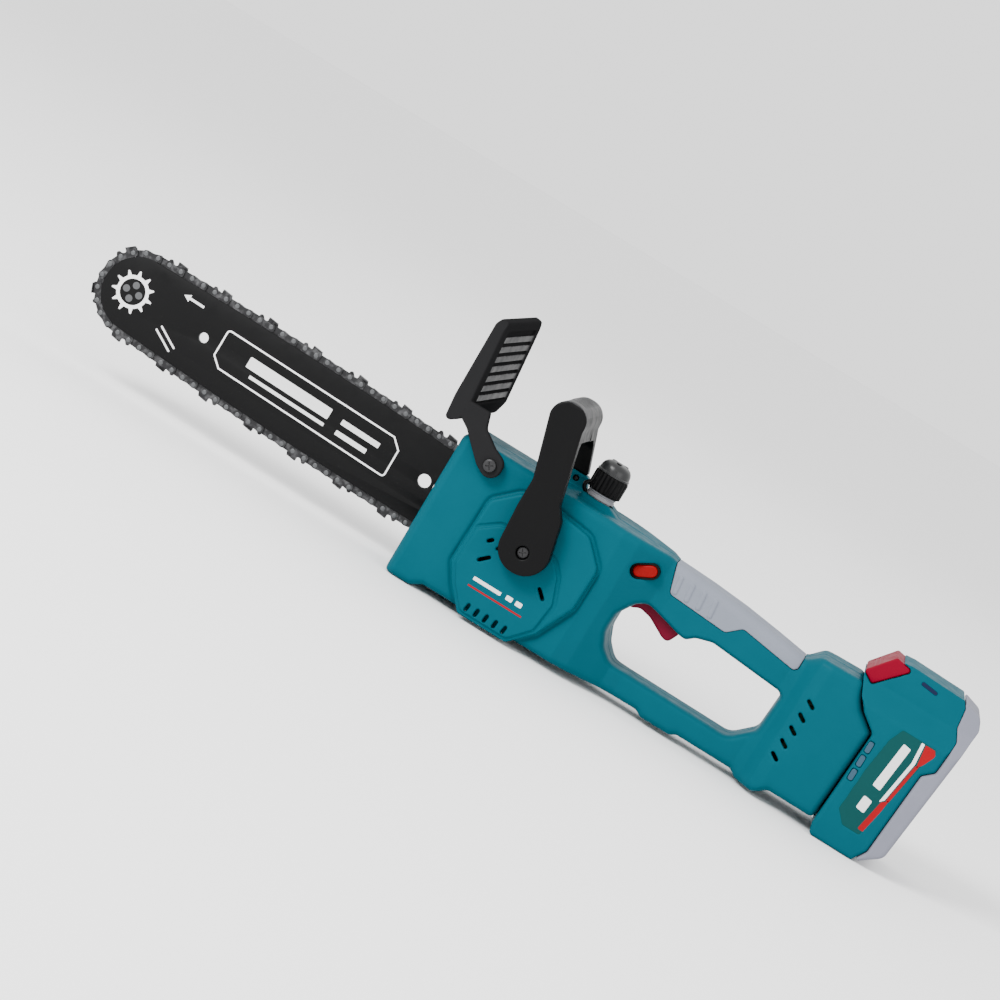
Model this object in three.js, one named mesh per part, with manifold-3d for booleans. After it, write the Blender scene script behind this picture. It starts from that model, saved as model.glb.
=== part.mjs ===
// Cordless chainsaw, built as separate pieces in one frame.
// Millimetres. +X runs from the bar's nose back to the battery, +Z is up, -Y is the motor side.
// The saw stands on its front foot and on the underside of its battery, both at Z = 0.
import * as THREE from 'three';
import { mergeVertices } from 'three/addons/utils/BufferGeometryUtils.js';
import Module from 'manifold-3d';

const wasm = await Module();
wasm.setup();

// ---------------------------------------------------------------- driving dimensions

const GAP = 0.3;                           // between pieces that touch
const WALL = 2.5;                          // plastic shell thickness
const SPINDLE = { x: 27, z: 58 };          // motor, gearbox and drive sprocket turn on this line
const BODY_LEFT = -38;                     // motor side face of the engine block
const BODY_RIGHT = 42;                     // roof and floor over the chain, chain side
const BAR_PAD_Y = 12;                      // the wall that the bar stands off
const COVER_BAY = { front: -60, rear: 76, bottom: 19.5, top: 98.3 };
const GRIP_HALF = 18;                      // half the width of the rear handle and the lower rail

const BAR_Y = 20;                          // middle plane of the bar and the chain
const BAR_TILT = THREE.MathUtils.degToRad(1.3);
const BAR_THICKNESS = 4;
const NOSE_DISTANCE = 344.5;               // spindle axis to nose sprocket axis
const NOSE_ARC_DISTANCE = 340;             // spindle axis to the centre of the bar's rounded tip
const NOSE_RADIUS = 27.5;
const BAR_BELLY = 3;                       // how far the rails bow out at mid length
const BAR_TAIL = 27;                       // spindle axis to the end of the bar
const BAR_SHOULDER = 53;                   // where the rails start to close in on the sprocket
const TENSION_TRAVEL = 4;                  // how far the bar slides back when it is slackened
const CHAIN_HEIGHT = 6;                    // straps above the rail
const CHAIN_WIDTH = 5.2;
const SPROCKET_TEETH = 6;
const SPROCKET_RADIUS = 17;
const NOSE_TEETH = 11;

const GUARD_PIVOT = { x: -24.8, z: 102 };
const TRIGGER_PIVOT = { x: 109, z: 84 };
const OIL_CAP = { x: 48, y: 0, z: 121.6 }; // bottom centre of the cap
const BATTERY_HALF = 36;
const BATTERY_LEAN = THREE.MathUtils.degToRad(2.6);

// ---------------------------------------------------------------- outlines, [x, z, corner radius]

const BODY_SIDE = [
  [-53, 0, 3], [-32.6, 0, 2], [-24, 5.2, 2], [100, 5.6, 4], [146, 6.2, 2], [151, 3.2, 2], [174.5, 3.2, 2],
  [179, 6, 2], [222.5, 6, 2], [228, 2.5, 2], [243, 2.5, 2], [252, 9.4, 2], [287.6, 9.4, 2], [291, 80, 4],
  [277.7, 90.2, 3], [273.7, 95.7, 3], [267.5, 108, 3], [237, 107.2, 5], [227.6, 98.4, 1], [202, 102.2, 0],
  [174.5, 105.7, 0], [146.8, 107.9, 0], [116.5, 109.2, 0], [112, 110.9, 3], [66, 112.2, 0], [-53, 112.2, 4],
];
const BODY_PLAN = [
  [-53, -33, 5], [-47, -38, 5], [78, -38, 12], [116, -18.5, 14], [224, -18, 6], [238, -33, 6], [292, -33, 0],
  [292, 33, 0], [238, 33, 6], [224, 18, 6], [112, 18.5, 14], [82, 42, 12], [-47, 42, 5], [-53, 37, 5],
];
const HAND_OPENING = [
  [100.8, 58, 3], [100.6, 43.9, 8], [105.3, 33, 6], [114.3, 24.6, 8], [209.5, 24, 10], [224.2, 38.2, 6],
  [226, 69.5, 3], [167.3, 74.1, 6], [155.5, 70.5, 4], [150, 65.7, 3], [145, 66.2, 1], [115.4, 74, 5],
  [108.4, 69.9, 3],
];
const MOTOR_COVER = [
  [-14.5, 31.4, 3], [-13.1, 81.4, 4], [3.9, 97.1, 4], [28, 99.5, 6], [58.8, 95.5, 4], [75.5, 78.7, 5],
  [74.8, 46.9, 6], [61.4, 18.7, 4], [46, 2.6, 3], [7, 2.6, 3], [-6.1, 18.1, 3],
];
const GRIP_PAD = [
  [115.1, 116, 0], [124.3, 87.8, 3], [170.9, 85, 4], [180.6, 93.8, 3], [224, 87.6, 2], [227, 90.3, 2],
  [227, 116, 0],
];
const HANDLE_LEFT_ARM = [
  [44.6, 68, 12], [44, 48.6, 18], [8.4, 48.6, 18], [7.6, 66.5, 10], [6, 91, 4], [6, 111, 6], [-7.4, 156, 6],
  [-7.4, 170.2, 13], [19, 170.2, 13], [19, 155, 6], [31.6, 103.8, 4], [38.2, 94.9, 5],
];
const HANDLE_RIGHT_ARM = [
  [17.8, 122.6, 1], [-7.4, 157, 6], [-7.4, 170.2, 13], [19, 170.2, 13], [20.8, 157, 6], [30.6, 122.6, 1],
];
const GUARD_SIDE = [
  [-71, 131, 4], [-71.5, 187, 3], [-69.5, 192.6, 2], [-64, 191.5, 2], [-58, 128, 3], [-59.5, 118, 2],
  [-69, 111.6, 2],
];
const GUARD_FRONT = [
  [-46, 111, 4], [-46, 192.6, 6], [58, 199, 8], [60, 133, 8], [53, 123.5, 6], [-30, 119, 8],
];
const GUARD_ARM = [
  [-25.5, 93.5, 8], [-16.4, 94.5, 8], [-16.2, 107.5, 8], [-27, 113, 4], [-39.5, 122, 6], [-43, 133, 2],
  [-61, 133, 1], [-61, 121, 2], [-52, 115.5, 2], [-34, 98, 8],
];
const BATTERY_CASE = [
  [290.6, 0, 2], [324, 0, 2], [330.2, 10.6, 2], [333.9, 74.3, 2], [341.2, 81, 2], [342.7, 105.5, 2],
  [338, 113.8, 2], [336.1, 128, 2], [332.8, 132.6, 1], [292.6, 133.8, 3], [280, 132.6, 2], [265.2, 113.2, 2],
  [272, 99.5, 1], [274.8, 96.5, 2], [279, 90.9, 3], [291.8, 81, 3], [288.6, 7.5, 2],
];
const BATTERY_BASE = [
  [324.3, 0, 2], [328.9, 2.2, 3], [342.4, 12.3, 6], [352.1, 119.5, 6], [348.2, 127.7, 5], [333.1, 132.6, 1],
  [336.4, 128, 2], [338.3, 113.9, 2], [343, 105.5, 2], [341.5, 80.9, 2], [334.2, 74.2, 2], [330.5, 10.6, 2],
];
const BATTERY_FRONT = [
  [-36, -5], [36, -5], [36, 96], [27, 112], [25.5, 140], [-25.5, 140], [-27, 112], [-36, 96],
];
const LATCH = [
  [264.6, 114.6, 1], [273.6, 109, 1], [293.4, 130.8, 1], [279.4, 133.4, 1],
];
const TRIGGER = [
  [104.2, 63, 2], [112, 67, 5], [121, 65, 6], [134.5, 57.7, 3], [140, 56, 3], [144.2, 65, 2], [142, 83, 2],
  [121, 86, 0], [109, 89.2, 4], [104, 86, 3], [104, 74, 3],
];

// ---------------------------------------------------------------- shape helpers

function inwardNormal(from, to, turn) {
  const length = Math.hypot(to[0] - from[0], to[1] - from[1]);
  return [-turn * (to[1] - from[1]) / length, turn * (to[0] - from[0]) / length];
}

// Moves every edge of a closed outline inward by the same distance; a negative distance moves it out.
function inset(points, distance) {
  const corners = points.map(([x, y]) => new THREE.Vector2(x, y));
  const turn = Math.sign(THREE.ShapeUtils.area(corners));
  const count = points.length;
  return points.map((corner, index) => {
    const first = inwardNormal(points[(index + count - 1) % count], corner, turn);
    const second = inwardNormal(corner, points[(index + 1) % count], turn);
    const reach = distance / (1 + first[0] * second[0] + first[1] * second[1]);
    const radius = Math.max(0, (corner[2] ?? 0) - distance);
    return [corner[0] + (first[0] + second[0]) * reach, corner[1] + (first[1] + second[1]) * reach, radius];
  });
}

// A closed shape with each corner rounded by its own radius.
function outline(points) {
  const shape = new THREE.Shape();
  const count = points.length;
  points.forEach(([x, y, radius = 0], index) => {
    const corner = new THREE.Vector2(x, y);
    const before = new THREE.Vector2(...points[(index + count - 1) % count].slice(0, 2)).sub(corner);
    const after = new THREE.Vector2(...points[(index + 1) % count].slice(0, 2)).sub(corner);
    const half = before.angleTo(after) / 2;
    const longest = 0.48 * Math.min(before.length(), after.length());
    const cut = Math.min(radius / Math.tan(half), longest);
    const start = corner.clone().addScaledVector(before.normalize(), cut);
    const end = corner.clone().addScaledVector(after.normalize(), cut);
    if (index === 0) {
      shape.moveTo(start.x, start.y);
    } else {
      shape.lineTo(start.x, start.y);
    }
    if (cut > 0.05) {
      shape.quadraticCurveTo(x, y, end.x, end.y);
    }
  });
  shape.closePath();
  return shape;
}

function extruded(shape, depth, bevel = 0, steps = 2) {
  return new THREE.ExtrudeGeometry(shape, {
    depth: depth - 2 * bevel,
    curveSegments: steps,
    bevelEnabled: bevel > 0,
    bevelThickness: bevel,
    bevelSize: bevel,
    bevelOffset: -bevel,
    bevelSegments: 2,
  }).translate(0, 0, bevel);
}

function asShape(outlineOrShape) {
  return Array.isArray(outlineOrShape) ? outline(outlineOrShape) : outlineOrShape;
}

function solid(geometry) {
  const bare = geometry.index ? geometry.toNonIndexed() : geometry.clone();
  bare.deleteAttribute('normal');
  bare.deleteAttribute('uv');
  const welded = mergeVertices(bare, 1e-4);
  const corners = welded.index.array;
  const kept = [];
  for (let first = 0; first < corners.length; first += 3) {
    const [a, b, c] = corners.slice(first, first + 3);
    if (a !== b && b !== c && c !== a) {
      kept.push(a, b, c);
    }
  }
  return new wasm.Manifold(new wasm.Mesh({
    numProp: 3,
    vertProperties: new Float32Array(welded.attributes.position.array),
    triVerts: new Uint32Array(kept),
  }));
}

function geometryOf(manifold) {
  const mesh = manifold.getMesh();
  const geometry = new THREE.BufferGeometry();
  const points = new Float32Array(mesh.numVert * 3);
  for (let vertex = 0; vertex < mesh.numVert; vertex += 1) {
    points.set(mesh.vertProperties.subarray(vertex * mesh.numProp, vertex * mesh.numProp + 3), vertex * 3);
  }
  geometry.setAttribute('position', new THREE.BufferAttribute(points, 3));
  geometry.setIndex(new THREE.BufferAttribute(new Uint32Array(mesh.triVerts), 1));
  geometry.computeVertexNormals();
  return geometry;
}

// A side view (x, z) carried across the saw from yLow to yHigh.
function across(points, yLow, yHigh, bevel = 0) {
  const geometry = extruded(asShape(points), yHigh - yLow, bevel);
  return solid(geometry.rotateX(Math.PI / 2).translate(0, yHigh, 0));
}

// A plan view (x, y) carried upward.
function upward(points, zLow, zHigh) {
  return solid(extruded(asShape(points), zHigh - zLow).translate(0, 0, zLow));
}

// A front view (y, z) carried along the saw.
function along(points, xLow, xHigh) {
  const geometry = extruded(asShape(points), xHigh - xLow);
  return solid(geometry.rotateZ(Math.PI / 2).rotateY(Math.PI / 2).translate(xLow, 0, 0));
}

function box(xLow, xHigh, yLow, yHigh, zLow, zHigh) {
  const geometry = new THREE.BoxGeometry(xHigh - xLow, yHigh - yLow, zHigh - zLow);
  return solid(geometry.translate((xLow + xHigh) / 2, (yLow + yHigh) / 2, (zLow + zHigh) / 2));
}

function rodY(x, z, radius, yLow, yHigh, sides = 16) {
  const geometry = new THREE.CylinderGeometry(radius, radius, yHigh - yLow, sides);
  return solid(geometry.translate(x, (yLow + yHigh) / 2, z));
}

function rodZ(x, y, radius, zLow, zHigh, sides = 16) {
  const geometry = new THREE.CylinderGeometry(radius, radius, zHigh - zLow, sides);
  return solid(geometry.rotateX(Math.PI / 2).translate(x, y, (zLow + zHigh) / 2));
}

function rodX(y, z, radius, xLow, xHigh, sides = 16) {
  const geometry = new THREE.CylinderGeometry(radius, radius, xHigh - xLow, sides);
  return solid(geometry.rotateZ(Math.PI / 2).translate((xLow + xHigh) / 2, y, z));
}

function ringY(x, z, inner, outer, yLow, yHigh, sides = 20) {
  return rodY(x, z, outer, yLow, yHigh, sides).subtract(rodY(x, z, inner, yLow - 1, yHigh + 1, sides));
}

// A slot with round ends, turned by an angle in the side view.
function slotY(x, z, length, width, angle, yLow, yHigh) {
  const half = length / 2;
  const points = [[-half, -width / 2], [half, -width / 2], [half, width / 2], [-half, width / 2]];
  const turned = points.map(([u, v]) => [
    x + u * Math.cos(angle) - v * Math.sin(angle),
    z + u * Math.sin(angle) + v * Math.cos(angle),
    width / 2.2,
  ]);
  return across(turned, yLow, yHigh);
}

// ---------------------------------------------------------------- materials and placing

const FINISH = {
  teal: { color: 0x007c8d, roughness: 0.5, metalness: 0 },
  greyPlastic: { color: 0x9b9ba6, roughness: 0.6, metalness: 0 },
  softGrip: { color: 0x9a9aa6, roughness: 0.8, metalness: 0 },
  black: { color: 0x1d1d1d, roughness: 0.6, metalness: 0 },
  red: { color: 0xaf000a, roughness: 0.45, metalness: 0 },
  crimson: { color: 0x820a32, roughness: 0.5, metalness: 0 },
  latchRed: { color: 0xc82d46, roughness: 0.45, metalness: 0 },
  barPaint: { color: 0x181818, roughness: 0.4, metalness: 0.2 },
  steel: { color: 0x8a8c90, roughness: 0.35, metalness: 1 },
  darkSteel: { color: 0x3a3b3d, roughness: 0.4, metalness: 1 },
  copper: { color: 0xb5672f, roughness: 0.4, metalness: 1 },
  board: { color: 0x1f5a34, roughness: 0.5, metalness: 0 },
  cellWrap: { color: 0x3d6fb0, roughness: 0.5, metalness: 0 },
  clearGrey: { color: 0xb9bcc0, roughness: 0.3, metalness: 0 },
  tank: { color: 0xd8d6cc, roughness: 0.5, metalness: 0 },
};

const saw = new THREE.Group();

function place(parent, name, shape, finish) {
  const geometry = shape instanceof THREE.BufferGeometry ? shape : geometryOf(shape);
  const mesh = new THREE.Mesh(geometry, new THREE.MeshStandardMaterial(FINISH[finish]));
  mesh.name = name;
  parent.add(mesh);
  return mesh;
}

// ---------------------------------------------------------------- housing

const HANDLE_SCREW = { x: 26, z: 64 };     // holds the front handle to the motor cover
const HANDLE_PEG = { x: 24.2, z: 117.6 };  // holds the handle's chain-side foot in the roof
const HOUSING_SCREWS = [[238, 22], [276, 22], [240, 94], [110, 14]];

function bayBlock(clearance) {
  return box(COVER_BAY.front - 10, COVER_BAY.rear + clearance, BAR_PAD_Y - clearance, BODY_RIGHT + 10,
    COVER_BAY.bottom - clearance, COVER_BAY.top + clearance);
}

function handleCore(depth) {
  return across(inset(BODY_SIDE, depth), -GRIP_HALF - 0.5 + depth, GRIP_HALF + 0.5 - depth);
}

const PAD_DEPTH = 2.2;

function padSolid(side) {
  const reach = GRIP_HALF + 2;
  const region = side < 0
    ? across(inset(GRIP_PAD, GAP), -reach, -GAP / 2)
    : across(inset(GRIP_PAD, GAP), GAP / 2, reach);
  const shell = across(BODY_SIDE, -GRIP_HALF - 0.5, GRIP_HALF + 0.5).subtract(handleCore(PAD_DEPTH));
  return region.intersect(shell);
}

function railProfile(clearance) {
  const neck = 13 + clearance;
  const flange = 19 + clearance;
  return [[286, -neck], [293.6 - clearance, -neck], [293.6 - clearance, -flange], [298 + clearance, -flange],
    [298 + clearance, flange], [293.6 - clearance, flange], [293.6 - clearance, neck], [286, neck]];
}

// The tee-shaped rail that the battery slides down, leaning with the foot's rear face.
function batteryRail(clearance, zLow, zHigh) {
  const straight = extruded(asShape(railProfile(clearance)), zHigh - zLow).translate(-290, 0, zLow - 50);
  return solid(straight.rotateY(BATTERY_LEAN).translate(289.6, 0, 50));
}

function housingOuter() {
  const plan = upward(BODY_PLAN, -5, 130);
  let outer = across(BODY_SIDE, -45, 50).intersect(plan);
  outer = outer.subtract(across(HAND_OPENING, -60, 60));
  outer = outer.subtract(bayBlock(0));
  const fillerStand = [[34.5, 111], [35.4, 116.7, 1], [57.8, 116.5, 2], [68.2, 111.6, 0], [68.2, 110]];
  outer = outer.add(across(fillerStand, -16, 20));
  const handleBoss = [[10, 110], [16.6, 122.3, 1], [31.8, 122.3, 1], [36, 110]];
  outer = outer.add(across(handleBoss, 27, 41.5));
  outer = outer.add(batteryRail(0, 16, 70));
  return outer;
}

function housingInner() {
  let inner = across(inset(BODY_SIDE, WALL), -45, 50);
  inner = inner.intersect(upward(inset(BODY_PLAN, WALL), -5, 130));
  inner = inner.subtract(across(inset(HAND_OPENING, -WALL), -60, 60));
  inner = inner.subtract(bayBlock(WALL));
  return inner;
}

function housingCuts() {
  const cuts = [
    rodZ(OIL_CAP.x, OIL_CAP.y, 11.2, 105, 125, 24),
    box(284, 300, -12.4, 12.4, 29.6, 52.4),
    across([[102, 56], [148, 56], [148, 74], [108, 80], [102, 74]], -7.6, 7.6),
    rodY(HANDLE_PEG.x, HANDLE_PEG.z, 2.4, 20, 60, 12),
    box(HANDLE_PEG.x - 4, HANDLE_PEG.x + 4, 30.6, 37.9, 112.6, 126),
  ];
  const padRoom = across(inset(GRIP_PAD, 0), -25, 25).subtract(handleCore(PAD_DEPTH + GAP));
  return cuts.reduce((all, cut) => all.add(cut), padRoom);
}

// One rod for every housing screw: bosses, bores and head pockets.
function screwRods(radius, yLow, yHigh) {
  const rods = HOUSING_SCREWS.map(([x, z]) => rodY(x, z, radius, yLow, yHigh, 8));
  return rods.reduce((all, rod) => all.add(rod));
}

function footVents() {
  const slots = [];
  for (let row = 0; row < 5; row += 1) {
    slots.push(slotY(243.8 + 0.6 * row, 32.4 + 10.85 * row, 7.5, 2.6, -0.55, -40, -28));
  }
  return slots.reduce((all, slot) => all.add(slot));
}

const outerForm = housingOuter();
const housing = outerForm.subtract(housingInner()).subtract(housingCuts());

function leftHousing() {
  let shell = housing.intersect(box(-100, 400, -80, -GAP / 2, -20, 220));
  shell = shell.subtract(rodY(SPINDLE.x, SPINDLE.z, 30.5, -50, -30, 28));
  shell = shell.subtract(rodY(GUARD_PIVOT.x, GUARD_PIVOT.z, 3.3, -50, -20, 12));
  shell = shell.subtract(lockButtonShape(0.4, -60, -10));
  shell = shell.add(screwRods(4.4, -40, -GAP / 2).intersect(outerForm));
  shell = shell.subtract(screwRods(1.9, -14, 5));
  return shell.subtract(footVents());
}

function rightHousing() {
  let shell = housing.intersect(box(-100, 400, GAP / 2, 80, -20, 220));
  shell = shell.add(rodY(SPINDLE.x, SPINDLE.z, 13, BAR_PAD_Y - 1, 15.4, 24));
  shell = shell.add(across([[-50, 46, 3], [-3, 46, 3], [-3, 72, 3], [-50, 72, 3]], BAR_PAD_Y - 1, 17.7));
  shell = shell.subtract(rodY(SPINDLE.x, SPINDLE.z, 10.2, 8, 14.7, 20));
  shell = shell.subtract(rodY(SPINDLE.x, SPINDLE.z, 6.2, 8, 20, 16));
  shell = shell.subtract(rodY(BAR_STUD.x, BAR_STUD.z, 4.3, 5, 20, 12));
  shell = shell.subtract(box(-56, -24, 14, 20, 40, 51.6));
  shell = shell.add(screwRods(5.4, GAP / 2, 60).intersect(outerForm));
  shell = shell.subtract(screwRods(4.2, 12, 60));
  return shell.subtract(screwRods(1.9, -5, 60));
}

// ---------------------------------------------------------------- motor cover and front end

function motorCover() {
  const face = -43.3;
  const seat = BODY_LEFT - GAP;
  let cover = across(MOTOR_COVER, face, seat + 3, 2.2).intersect(box(-100, 200, face, seat, -10, 120));
  cover = cover.subtract(across(inset(MOTOR_COVER, WALL), face + WALL, seat + 1));
  cover = cover.add(ringY(SPINDLE.x, SPINDLE.z, 8.15, 11, face + WALL - 0.5, -35.2, 20));
  cover = cover.add(rodY(HANDLE_SCREW.x, HANDLE_SCREW.z, 7, face - 1.3, face + 1, 16));
  cover = cover.subtract(rodY(HANDLE_SCREW.x, HANDLE_SCREW.z, 2.3, -50, -41.2, 12));
  for (let slot = 0; slot < 5; slot += 1) {
    cover = cover.subtract(slotY(11.6 + 7.4 * slot, 9.6, 5, 2.6, Math.PI / 2, -50, -36));
  }
  cover = cover.subtract(slotY(4.3, 44.5, 9, 2.6, 0.75, -50, -36));
  cover = cover.subtract(slotY(49.2, 44.5, 9, 2.6, -0.75, -50, -36));
  cover = cover.subtract(slotY(1.6, 57.7, 4.5, 2.6, 0.75, -50, -36));
  return cover;
}

function frontHandle() {
  const frame = along([
    [-57, 40], [-57, 170.3, 7], [40, 170.3, 7], [40, 122.6], [28.5, 122.6], [28.5, 147, 8], [-45, 147, 8],
    [-45, 40],
  ], -30, 80);
  const left = frame.intersect(across(HANDLE_LEFT_ARM, -70, 5));
  const right = frame.intersect(across(HANDLE_RIGHT_ARM, 4.9, 70));
  let handle = left.add(right);
  handle = handle.subtract(rodY(HANDLE_SCREW.x, HANDLE_SCREW.z, 4.6, -70, -52, 16));
  handle = handle.subtract(rodY(HANDLE_SCREW.x, HANDLE_SCREW.z, 2.4, -70, -40, 12));
  const peg = box(HANDLE_PEG.x - 3.6, HANDLE_PEG.x + 3.6, 31, 37.5, 113, 123.5);
  return handle.add(peg).subtract(rodY(HANDLE_PEG.x, HANDLE_PEG.z, 1.8, 20, 60, 12));
}

// The plate's near edge leads its far edge by this turn about the vertical.
const GUARD_SWEEP = THREE.MathUtils.degToRad(-4.5);

function handGuard() {
  const plate = along(GUARD_FRONT, -90, -30).intersect(across(GUARD_SIDE, -46, 61));
  const pocket = across([[-80, 133], [-80, 182], [-70, 182], [-64, 133]], -38, 52);
  const panel = across([[-63.6, 183], [-40, 183], [-40, 131], [-59, 131]], -40, 53);
  const swept = geometryOf(plate.subtract(pocket).subtract(panel))
    .translate(60, 46, 0).rotateZ(GUARD_SWEEP).translate(-60, -46, 0);
  let guard = solid(swept).add(across(GUARD_ARM, -46, -39.4));
  guard = guard.subtract(rodY(GUARD_PIVOT.x, GUARD_PIVOT.z, 3.3, -60, -30, 12));
  return guard;
}

// Pan-head screw along Y, head outward on the motor side.
function sideScrew(headRadius, headHeight, shankRadius, shankLength) {
  const head = rodY(0, 0, headRadius, -headHeight, 0, 10);
  const socket = rodY(0, 0, headRadius * 0.45, -headHeight - 1, -headHeight * 0.45, 6);
  return head.add(rodY(0, 0, shankRadius, -0.1, shankLength, 6)).subtract(socket);
}

// ---------------------------------------------------------------- oil system

const TANK_SIDE = [
  [36, 93.5, 2], [63.5, 93.5, 2], [63.5, 40, 3], [92, 40, 3], [92, 108.6, 3], [36, 108.6, 3],
];

function oilTank() {
  const outside = across(TANK_SIDE, -26, 8.6);
  const inside = across(inset(TANK_SIDE, 2), -24, 6.6);
  return outside.subtract(inside)
    .subtract(rodZ(OIL_CAP.x, OIL_CAP.y, 7.2, 100, 112, 20))
    .subtract(rodX(0, 98, 1.8, 30, 40, 12));
}

function fillerNeck() {
  return new THREE.LatheGeometry([
    new THREE.Vector2(6.6, -12.4), new THREE.Vector2(8.6, -12.4), new THREE.Vector2(8.6, -4.6),
    new THREE.Vector2(10.8, -4.6), new THREE.Vector2(10.8, -0.4), new THREE.Vector2(8.4, -0.4),
    new THREE.Vector2(8.4, 9), new THREE.Vector2(6.6, 9), new THREE.Vector2(6.6, -12.4),
  ], 20);
}

function oilCap() {
  const profile = [
    [0, 10.5], [8.8, 10.5], [8.8, 0], [12.6, 0], [12.6, 8], [12.2, 15.5], [10.4, 20.4], [6, 23.4], [0, 24],
  ];
  return new THREE.LatheGeometry(profile.map(([radius, height]) => new THREE.Vector2(radius, height)), 24);
}

function oilHose() {
  const route = new THREE.CatmullRomCurve3([
    new THREE.Vector3(35.6, 0, 98), new THREE.Vector3(26, 0, 98), new THREE.Vector3(14, 1, 96),
    new THREE.Vector3(2, 3.6, 90), new THREE.Vector3(-7.4, 4, 88),
  ]);
  const section = new THREE.Shape().absarc(0, 0, 2, 0, 2 * Math.PI);
  const bore = new THREE.Path().absarc(0, 0, 1.2, 0, 2 * Math.PI, true);
  section.holes.push(bore);
  return new THREE.ExtrudeGeometry(section, { steps: 8, curveSegments: 4, extrudePath: route });
}

function oilPump() {
  return box(-26, -8, -3, 8.8, 81, 94)
    .add(rodY(-17, 87.5, 5, -9, -2.9, 16))
    .subtract(rodX(4, 88, 1.4, -14, 0, 8));
}

// ---------------------------------------------------------------- motor and gearbox, around the spindle line

const GEAR_MODULE = 0.8;
const SUN_TEETH = 12;
const PLANET_TEETH = 18;
const RING_TEETH = 48;
const PLANET_ORBIT = GEAR_MODULE * (SUN_TEETH + PLANET_TEETH) / 2;
const PLANET_PIN_RADIUS = 2;
const PLANETS = 3;

// Straight-flanked teeth; the first tooth is centred on +X unless half a pitch is added.
function toothedOutline(teeth, rootRadius, tipRadius, rootWidth, tipWidth, phase = 0) {
  const pitch = 2 * Math.PI / teeth;
  const points = [];
  for (let tooth = 0; tooth < teeth; tooth += 1) {
    const centre = (tooth + phase) * pitch;
    [[rootRadius, -rootWidth / 2], [tipRadius, -tipWidth / 2], [tipRadius, tipWidth / 2],
      [rootRadius, rootWidth / 2]].forEach(([radius, offset]) => {
      const angle = centre + offset * pitch;
      points.push(new THREE.Vector2(radius * Math.cos(angle), radius * Math.sin(angle)));
    });
  }
  return points;
}

function gearDisc(points, holes, yLow, yHigh) {
  const shape = new THREE.Shape(points);
  holes.forEach(({ x = 0, z = 0, radius, path }) => {
    const hole = path ? new THREE.Path(path) : new THREE.Path().absarc(x, z, radius, 0, 2 * Math.PI, true);
    shape.holes.push(hole);
  });
  const geometry = extruded(shape, yHigh - yLow, 0, 8);
  return solid(geometry.rotateX(Math.PI / 2).translate(0, yHigh, 0));
}

function externalGear(teeth, phase, bore, yLow, yHigh) {
  const pitchRadius = GEAR_MODULE * teeth / 2;
  const points = toothedOutline(teeth, pitchRadius - 1.1, pitchRadius + 0.6, 0.56, 0.2, phase);
  return gearDisc(points, bore > 0 ? [{ radius: bore }] : [], yLow, yHigh);
}

function ringGear() {
  const pitchRadius = GEAR_MODULE * RING_TEETH / 2;
  const points = toothedOutline(RING_TEETH, pitchRadius + 1.1, pitchRadius - 0.6, 0.5, 0.16).reverse();
  const rim = new THREE.Shape().absarc(0, 0, 24, 0, 2 * Math.PI).getPoints(12);
  rim.pop();
  return gearDisc(rim, [{ path: points }], -2.4, 6.8);
}

function motorRotor() {
  return rodY(0, 0, 4, -40, -1.6, 14)
    .add(rodY(0, 0, 14.6, -27.5, -9, 24))
    .add(externalGear(SUN_TEETH, 0, 0, -1.8, 6.6));
}

function motorStator() {
  const slots = 9;
  let stator = ringY(0, 0, 15.2, 27.4, -28, -8.5, 27);
  for (let slot = 0; slot < slots; slot += 1) {
    const angle = (slot + 0.5) * 2 * Math.PI / slots;
    const x = 19 * Math.cos(angle);
    const z = 19 * Math.sin(angle);
    stator = stator.subtract(rodY(x, z, 2.6, -30, -6, 6));
  }
  return stator;
}

function coolingFan() {
  let fan = ringY(0, 0, 4.2, 9, -34.4, -29.2, 18).add(ringY(0, 0, 8.8, 28.6, -30.6, -29.2, 24));
  const blades = 10;
  for (let blade = 0; blade < blades; blade += 1) {
    const vane = new THREE.BoxGeometry(19.4, 4, 1.4).translate(18.4, -32.4, 0);
    vane.rotateY(blade * 2 * Math.PI / blades);
    fan = fan.add(solid(vane));
  }
  return fan;
}

function bearing(inner, outer, yLow, yHigh) {
  return ringY(0, 0, inner, outer, yLow, yHigh, 20);
}

function planetCarrier() {
  let carrier = rodY(0, 0, 16, 7.2, 8.9, 24).add(rodY(0, 0, 5, 8.8, 29, 16));
  for (let planet = 0; planet < PLANETS; planet += 1) {
    const angle = planet * 2 * Math.PI / PLANETS;
    const x = PLANET_ORBIT * Math.cos(angle);
    const z = PLANET_ORBIT * Math.sin(angle);
    carrier = carrier.add(rodY(x, z, PLANET_PIN_RADIUS, -1.4, 7.3, 10));
  }
  return carrier;
}

function driveSprocket() {
  const teeth = toothedOutline(SPROCKET_TEETH, SPROCKET_RADIUS - 4.5, SPROCKET_RADIUS, 0.62, 0.3);
  return gearDisc(teeth, [], BAR_Y - 1, BAR_Y + 1)
    .add(rodY(0, 0, 11, 16.2, 25.6, 20))
    .subtract(rodY(0, 0, 5.2, 10, 30, 16));
}

// ---------------------------------------------------------------- bar and chain, in the bar's own tilted frame

// Half the height of the bar at a distance ahead of the spindle.
function railHeight(distance) {
  const middle = (NOSE_ARC_DISTANCE + BAR_TAIL) / 2;
  const span = (NOSE_ARC_DISTANCE - BAR_TAIL) / 2;
  return NOSE_RADIUS + BAR_BELLY * (1 - ((distance - middle) / span) ** 2);
}

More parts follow.
